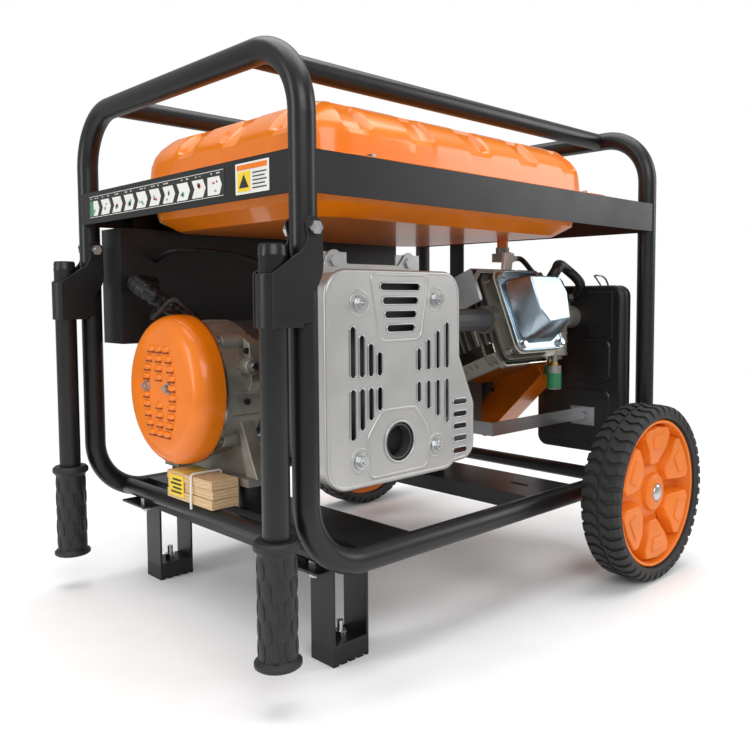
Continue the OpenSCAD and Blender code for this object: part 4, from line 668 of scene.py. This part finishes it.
tubes("hose_breather", [smooth([cyl_point(30, 34, 30), cyl_point(38, 48, 44), cyl_point(62, 60, 36),
                                (262, -150, 330), (282, -165, 306), (293, -151, 286)], 8)], 8.2,
      "rubber", sides=5)
tubes("cable_boot", [boot], 12, "rubber", sides=5, radii=lambda i: 1.0 if i % 4 < 2 else 0.86)
tubes("cables", [smooth([(-300, 120, 290), (-318, 96, 268), (-312, 66, 282), (-290, 60, 262)], 8),
                 smooth([(-296, 128, 282), (-322, 108, 258), (-314, 84, 270), (-288, 80, 258)], 8),
                 smooth([(-268, 199, 338), (-262, 150, 352), (-200, 110, 348), (-160, 70, 330)], 8)],
      3.2, "rubber")

# ------------------------------------------------------------------ wheels
AX, Y0, Y1 = 227.0, 283.0, 344.0
for side, s in (("near", -1), ("far", 1)):
    body = "wheel_" + side
    tyre = Shape()
    prof = [(107.5, Y0 + 10.5), (108.5, Y0 + 4), (112, Y0 + 1.6), (116, Y0 + 1.2), (120, Y0 + 2.8),
            (123, Y0 + 7), (124.2, Y0 + 14), (124.6, (Y0 + Y1) / 2), (124.2, Y1 - 14),
            (123, Y1 - 7), (120, Y1 - 2.8), (116, Y1 - 1.2), (112, Y1 - 1.6), (108.5, Y1 - 4),
            (107.5, Y1 - 10.5), (107.5, Y0 + 10.5)]
    tyre.revolve([(r, s * y) for r, y in prof], "y", (AX, 0), 96)
    tyre.done("tyre_body_" + side, "tyre", body, sharp=40, replaces=["tyre_" + side], slot="tyre_rubber")
    tread = Shape()
    N = 46
    for k in range(N):
        for half in (-1, 1):
            a0 = 2 * math.pi * (k + (0.5 if half > 0 else 0)) / N
            w = 2 * math.pi / N * 0.60
            cols = [(2.2, 0.0, 127.3, 123.5), (13, 0.05, 127.4, 123.5), (25, 0.02, 126.2, 122),
                    (29.6, 0.02, 121.4, 117.5), (29.9, 0.02, 114.5, 113.5)]
            lo = []
            for d, sh, top, low in cols:
                y = s * ((Y0 + Y1) / 2 + half * d)
                lo.append([tread.verts([(AX + r * math.cos(a), y, r * math.sin(a))])[0]
                           for r in (top, low) for a in (a0 + sh * half, a0 + sh * half + w)])
            for p, q in zip(lo, lo[1:]):
                for i, j in ((0, 1), (1, 3), (3, 2), (2, 0)):
                    tread.bm.faces.new((p[i], p[j], q[j], q[i]))
            for e in (lo[0], lo[-1]):
                tread.bm.faces.new((e[0], e[1], e[3], e[2]))
    tread.done("tyre_tread_" + side, "tyre", body, bevel=0.7, segments=1)
    rim_body = Shape()
    rim_prof = [(24, Y0), (24, Y0 + 16), (60, Y0 + 24), (98, Y0 + 20), (102, Y0 + 10.5),
                (107.4, Y0 + 10.5), (107.4, Y1 - 10.5), (105, Y1 - 7), (101.5, Y1 - 8),
                (99, Y1 - 16), (93, Y1 - 28), (60, Y1 - 29), (48, Y1 - 27), (30, Y1 - 20),
                (18, Y1 - 15.5), (8.05, Y1 - 14.8), (8.05, Y0), (24, Y0)]
    rim_body.revolve([(r, s * y) for r, y in rim_prof], "y", (AX, 0), 96)
    rim_body.done("rim_body_" + side, "orange_rim", body, sharp=38, replaces=["rim_" + side],
                  slot="rim_orange")
    lobes = Shape()
    for k in range(6):
        lobes.place = (Matrix.Translation((AX, 0, 0))
                       @ Matrix.Rotation(math.radians(60 * k + 30), 4, "Y"))
        flat = [(37, -11), (46, -19), (60, -28), (85, -39), (96, -33), (99.5, 0), (96, 33), (85, 39),
                (60, 28), (46, 19), (37, 11)]
        top = [(u - 4 if u > 60 else u + 4, v * 0.88) for u, v in flat]
        lobes.hull([(u, s * (Y1 - 28), v) for u, v in flat]
                   + [(u, s * (Y1 - (8 if u > 60 else 14)), v) for u, v in top])
        lobes.hull([(u, s * (Y1 - w), v * k2) for w, k2 in ((10, 1), (6.2, 0.85))
                    for u, v in ((64, -16), (84, -19), (84, 19), (64, 16))])
    lobes.done("rim_lobes_" + side, "orange_rim", body, bevel=2.0, segments=3, sharp=0)
    hub = Shape()
    hub.revolve([(30, s * (Y1 - 24)), (26, s * (Y1 - 13)), (19, s * (Y1 - 9.5)), (13.2, s * (Y1 - 9.2)),
                 (13.2, s * (Y1 - 14))], "y", (AX, 0), 48)
    hub.done("hub_boss_" + side, "orange_rim", body, sharp=40)
    cap = Shape()
    cap.revolve([(0, s * (Y1 - 6.4)), (8, s * (Y1 - 6.6)), (11.2, s * (Y1 - 8)), (12.4, s * (Y1 - 10)),
                 (12.4, s * (Y1 - 14))], "y", (AX, 0), 48)
    cap.done("hub_cap_" + side, "zinc", sharp=50)

# ------------------------------------------------------------------ carrying handle grips
HX, GL, POST_Y = -380.0, -80.5, 249
for side, s in (("near", -1), ("far", 1)):
    grip = Shape()
    prof = [(0, 0), (22, 0), (24, 1.5), (24, 5), (22, 7), (19.2, 9), (19.2, 112), (20.5, 116),
            (23.6, 119), (23.8, 124), (21, 127), (14.05, 127)]
    grip.revolve([(r, GL + w) for r, w in prof], "z", (HX, s * POST_Y), 48)
    grip.done("grip_body_" + side, "grip", "handle_" + side, sharp=40, replaces=["grip_" + side],
              slot="grip_rubber")
    leaf = Shape()
    for row in range(5):
        for k in range(8):
            a = 2 * math.pi * (k + 0.5 * (row % 2)) / 8
            leaf.place = (Matrix.Translation((HX + 19.0 * math.cos(a), s * POST_Y + 19.0 * math.sin(a),
                                              GL + 20 + 20.5 * row))
                          @ Matrix.Rotation(a, 4, "Z") @ Matrix.Rotation(0.12, 4, "X"))
            leaf.blob((0, 0, 0), (1.5, 5.0, 12.5), 8)
    leaf.done("grip_leaves_" + side, "grip", "handle_" + side, sharp=0)

# handle tubes with their folded brackets
for side, s in (("near", -1), ("far", 1)):
    bar = Shape()
    bar.revolve([(12, GL + 7), (14, GL + 8), (14, 322), (14.4, 323), (14.4, 325.5), (14, 326.5),
                 (14, 333), (12.5, 335.6), (6, 336), (0, 336)], "z", (HX, s * POST_Y), 48)
    bar.done("handle_bar_" + side, "powder", "handle_" + side, sharp=40, replaces=["handle_" + side],
             slot="frame_black")
    fold = Shape()
    cy = s * POST_Y
    sleeve = [(-356, cy - 17.2)] + arc((HX, cy), 17.2, 270, 90, 14) + [(-356, cy + 17.2)]
    inner = [(-356, cy + 14.8)] + arc((HX, cy), 14.4, 90, 270, 14) + [(-356, cy - 14.8)]
    fold.prism(sleeve + inner, "z", 254.4, 306.6)
    for w0, w1 in ((14.5, 17.5), (-17.5, -14.5)):
        ear = ([(-392, 254), (-345, 260)] + arc((-371, 318), 40, -52, -2, 5)
               + arc((-343, 352), 12, -20, 150, 10) + arc((-372, 346), 22, 10, -70, 6)[1:]
               + [(-392, 307)])
        fold.prism(ear, "y", cy + w0, cy + w1)
    fold.done("handle_bracket_" + side, "sheet", "handle_" + side, bevel=0.8)

# ------------------------------------------------------------------ transport block
block = Shape()
for z0, z1, dx in ((17.4, 29.6, 0), (30.0, 41.6, 1.2), (42.0, 53.8, -0.6)):
    block.box((-312 + max(dx, 0), -16, z0), (-272.5, 97, z1))
block.done("wood_block", "wood", bevel=0.9, replaces=["shipping_block"], slot="pine_block")
tag = Shape()
tag.box((-313.2, 52, 22), (-312.1, 90, 50))
tag.box((-312, 54, 53.9), (-276, 88, 54.6))
tag.done("block_label", "yellow", bevel=0.2)
mark = Shape()
for k in range(4):
    mark.box((-313.6, 57, 26 + 5.6 * k), (-313.2, 84 - 5 * (k % 2), 28.4 + 5.6 * k))
mark.done("block_label_print", "ink")
tubes("cable_tie", [[(-314.5, 30, 12), (-315, 30, 20), (-314, 30, 55), (-311, 30, 57), (-273, 30, 57),
                     (-270, 30, 55), (-269.8, 30, 13.5)]], 1.6, "white")

# ------------------------------------------------------------------ labels on the end band
LX = -355.6
plate, cells, pale, greens, yellows, oranges, inks, reds = (Shape() for _ in range(8))
plate.box((LX - 0.35, -128, 394), (LX, 218, 425))
random.seed(4)
STEP = 34.2
for k in range(10):
    y = 214 - k * STEP
    arrow = [(y, 397), (y - 24, 397), (y - 30, 407), (y - 24, 417), (y, 417), (y - 6, 407)]
    if k in (0, 9):
        arrow = [(y, 397), (y - 24, 397), (y - 29, 407), (y - 24, 417), (y, 417)]
    cells.prism(arrow, "x", LX - 0.55, LX - 0.35)
    for _ in range(3):
        u, v, r = y - random.uniform(10, 20), random.uniform(401, 412), random.uniform(1.6, 3.4)
        pick = random.choice((pale, pale, inks, reds))
        if random.random() < 0.5:
            pick.cyl("x", (u, v), r, LX - 0.75, LX - 0.55, 16)
        else:
            pick.prism([(u - r, v - 1.2), (u + r, v - 1.2), (u + r * 0.4, v + 1.6)], "x",
                       LX - 0.75, LX - 0.55)
    for _ in range(3):
        u = y - random.uniform(2, 24)
        cells.box((LX - 0.55, u - 2.4, 419.8), (LX - 0.35, u, 421.2))
greens.prism([(214, 397), (203, 397), (203, 417), (214, 417)], "x", LX - 0.7, LX - 0.55)
for v in (395.2, 423.2):
    cells.box((LX - 0.5, -126, v - 0.3), (LX - 0.35, 216, v + 0.3))
warn = Shape()
warn.box((LX - 0.6, -211, 392.5), (LX, -150, 425))
warn.done("warning_label", "white", bevel=0.15)
yellows.box((LX - 0.8, -178, 395), (LX - 0.6, -154, 416))
oranges.box((LX - 0.8, -208, 417.5), (LX - 0.6, -153, 423))
tri = Shape()
tri.prism([(-175, 399), (-157, 399), (-166, 413)], "x", LX - 1.0, LX - 0.8)
for k in range(5):
    tri.box((LX - 0.9, -207 + 3 * (k % 2), 397 + 3.9 * k), (LX - 0.6, -182, 398.2 + 3.9 * k))
tri.done("warning_print", "ink")
plate.done("strip_plate", "ink", bevel=0.1)
cells.done("strip_cells", "white")
pale.done("strip_pictures", "teal")
greens.done("strip_start", "green")
yellows.done("warning_yellow", "yellow")
oranges.done("warning_header", "orange_cover")
inks.done("strip_marks", "ink")
reds.done("strip_red", "red")

# ------------------------------------------------------------------ control panel details (far side)
FACE_Y, SOCKET_Z = 259, 289
METER = (-171, FACE_Y + 5.4, 284)
front = Shape()
for x, r in ((-261, 16), (-171, 27), (-21, 28), (54, 28)):
    for k in range(4):
        a = math.radians(45 + 90 * k)
        front.cyl("y", (x + (r + 6) * math.cos(a), SOCKET_Z + (r + 6) * math.sin(a)), 2.6,
                  FACE_Y, FACE_Y + 1.6, 12)
for x in (-310, -60, 208):
    for z in (230, 372):
        front.cyl("y", (x, z), 4.4, FACE_Y, FACE_Y + 2.5, 20, 3.4)
front.done("panel_screws", "zinc", bevel=0.3)
face = Shape()
face.cyl("y", (METER[0], SOCKET_Z), 22, METER[1] - 0.5, METER[1], 48)
face.box((-112, FACE_Y, 318), (-70, FACE_Y + 0.4, 330))
face.box((-48, FACE_Y, 334), (82, FACE_Y + 0.4, 346))
face.done("panel_labels", "white")
needle = Shape()
for k in range(9):
    a = math.radians(30 + 15 * k)
    needle.place = Matrix.Translation(METER) @ Matrix.Rotation(-a, 4, "Y")
    needle.box((17, 0, -0.5), (20, 0.3, 0.5))
needle.place = Matrix.Translation(METER) @ Matrix.Rotation(math.radians(-128), 4, "Y")
needle.box((0, 0, -0.5), (17, 0.4, 0.5))
needle.done("meter_print", "ink")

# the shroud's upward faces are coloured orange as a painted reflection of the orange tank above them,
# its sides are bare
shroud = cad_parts["cylinder_shroud"]
shroud.data.materials.append(MAT["orange_cover"])
for face_poly in shroud.data.polygons:
    if face_poly.normal.z > 0.5:
        face_poly.material_index = 1

# ------------------------------------------------------------------ CAD nodes: smoother shading
for node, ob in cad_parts.items():
    if not ob.hide_render:
        ob.data.shade_smooth()
        ob.data.set_sharp_from_angle(angle=math.radians(30))

# ------------------------------------------------------------------ floor, light and background
# the floor turns clear between two distances in metres, and the camera sees a white world behind it
FADE_START, FADE_END = 0.5, 1.7
bpy.ops.mesh.primitive_plane_add(size=14, location=(0, 0, -0.0004))
floor = bpy.context.object
floor.name = "floor"
floor_mat = material("floor_pale", (0.94, 0.94, 0.94), rough=0.75, vary=0.01, bump=0.05)
floor.data.materials.append(floor_mat)
tree = floor_mat.node_tree
fade, clear = tree.nodes.new("ShaderNodeMixShader"), tree.nodes.new("ShaderNodeBsdfTransparent")
length, edge_ramp = tree.nodes.new("ShaderNodeVectorMath"), tree.nodes.new("ShaderNodeMapRange")
coords = next(k for k in tree.nodes if k.type == "TEX_COORD")
length.operation = "LENGTH"
edge_ramp.interpolation_type = "SMOOTHERSTEP"
edge_ramp.inputs["From Min"].default_value = FADE_START
edge_ramp.inputs["From Max"].default_value = FADE_END
tree.links.new(coords.outputs["Object"], length.inputs[0])
tree.links.new(length.outputs["Value"], edge_ramp.inputs["Value"])
tree.links.new(edge_ramp.outputs["Result"], fade.inputs["Fac"])
tree.links.new(tree.nodes["Principled BSDF"].outputs["BSDF"], fade.inputs[1])
tree.links.new(clear.outputs["BSDF"], fade.inputs[2])
tree.links.new(fade.outputs["Shader"], tree.nodes["Material Output"].inputs["Surface"])
world = bpy.data.worlds.new("studio")
bpy.context.scene.world = world
world.use_nodes = True
tree = world.node_tree
lit = tree.nodes["Background"]
lit.inputs["Color"].default_value = (1, 1, 1, 1)
lit.inputs["Strength"].default_value = 0.50
seen = tree.nodes.new("ShaderNodeBackground")
seen.inputs["Color"].default_value = (1, 1, 1, 1)
seen.inputs["Strength"].default_value = 1.0
path, pick = tree.nodes.new("ShaderNodeLightPath"), tree.nodes.new("ShaderNodeMixShader")
tree.links.new(path.outputs["Is Camera Ray"], pick.inputs["Fac"])
tree.links.new(lit.outputs["Background"], pick.inputs[1])
tree.links.new(seen.outputs["Background"], pick.inputs[2])
tree.links.new(pick.outputs["Shader"], tree.nodes["World Output"].inputs["Surface"])


def area(name, loc, target, size, power):
    data = bpy.data.lights.new(name, "AREA")
    data.shape, data.size, data.size_y = "RECTANGLE", size[0], size[1]
    data.energy = power
    ob = bpy.data.objects.new(name, data)
    bpy.context.scene.collection.objects.link(ob)
    ob.location = loc
    ob.rotation_euler = (Vector(target) - Vector(loc)).to_track_quat("-Z", "Y").to_euler()


area("key", (-1.5, -2.6, 2.0), (0, 0, 0.3), (2.2, 1.4), 44)
area("top", (0.1, 0.1, 2.6), (0, 0, 0.3), (2.8, 2.2), 62)
area("left", (-2.6, 0.6, 1.0), (0, 0, 0.3), (0.6, 1.8), 20)
area("right", (2.2, -1.6, 1.3), (0, 0, 0.3), (0.9, 1.4), 16)
view = bpy.context.scene.view_settings
view.view_transform, view.look, view.exposure = "Standard", "None", 0.0
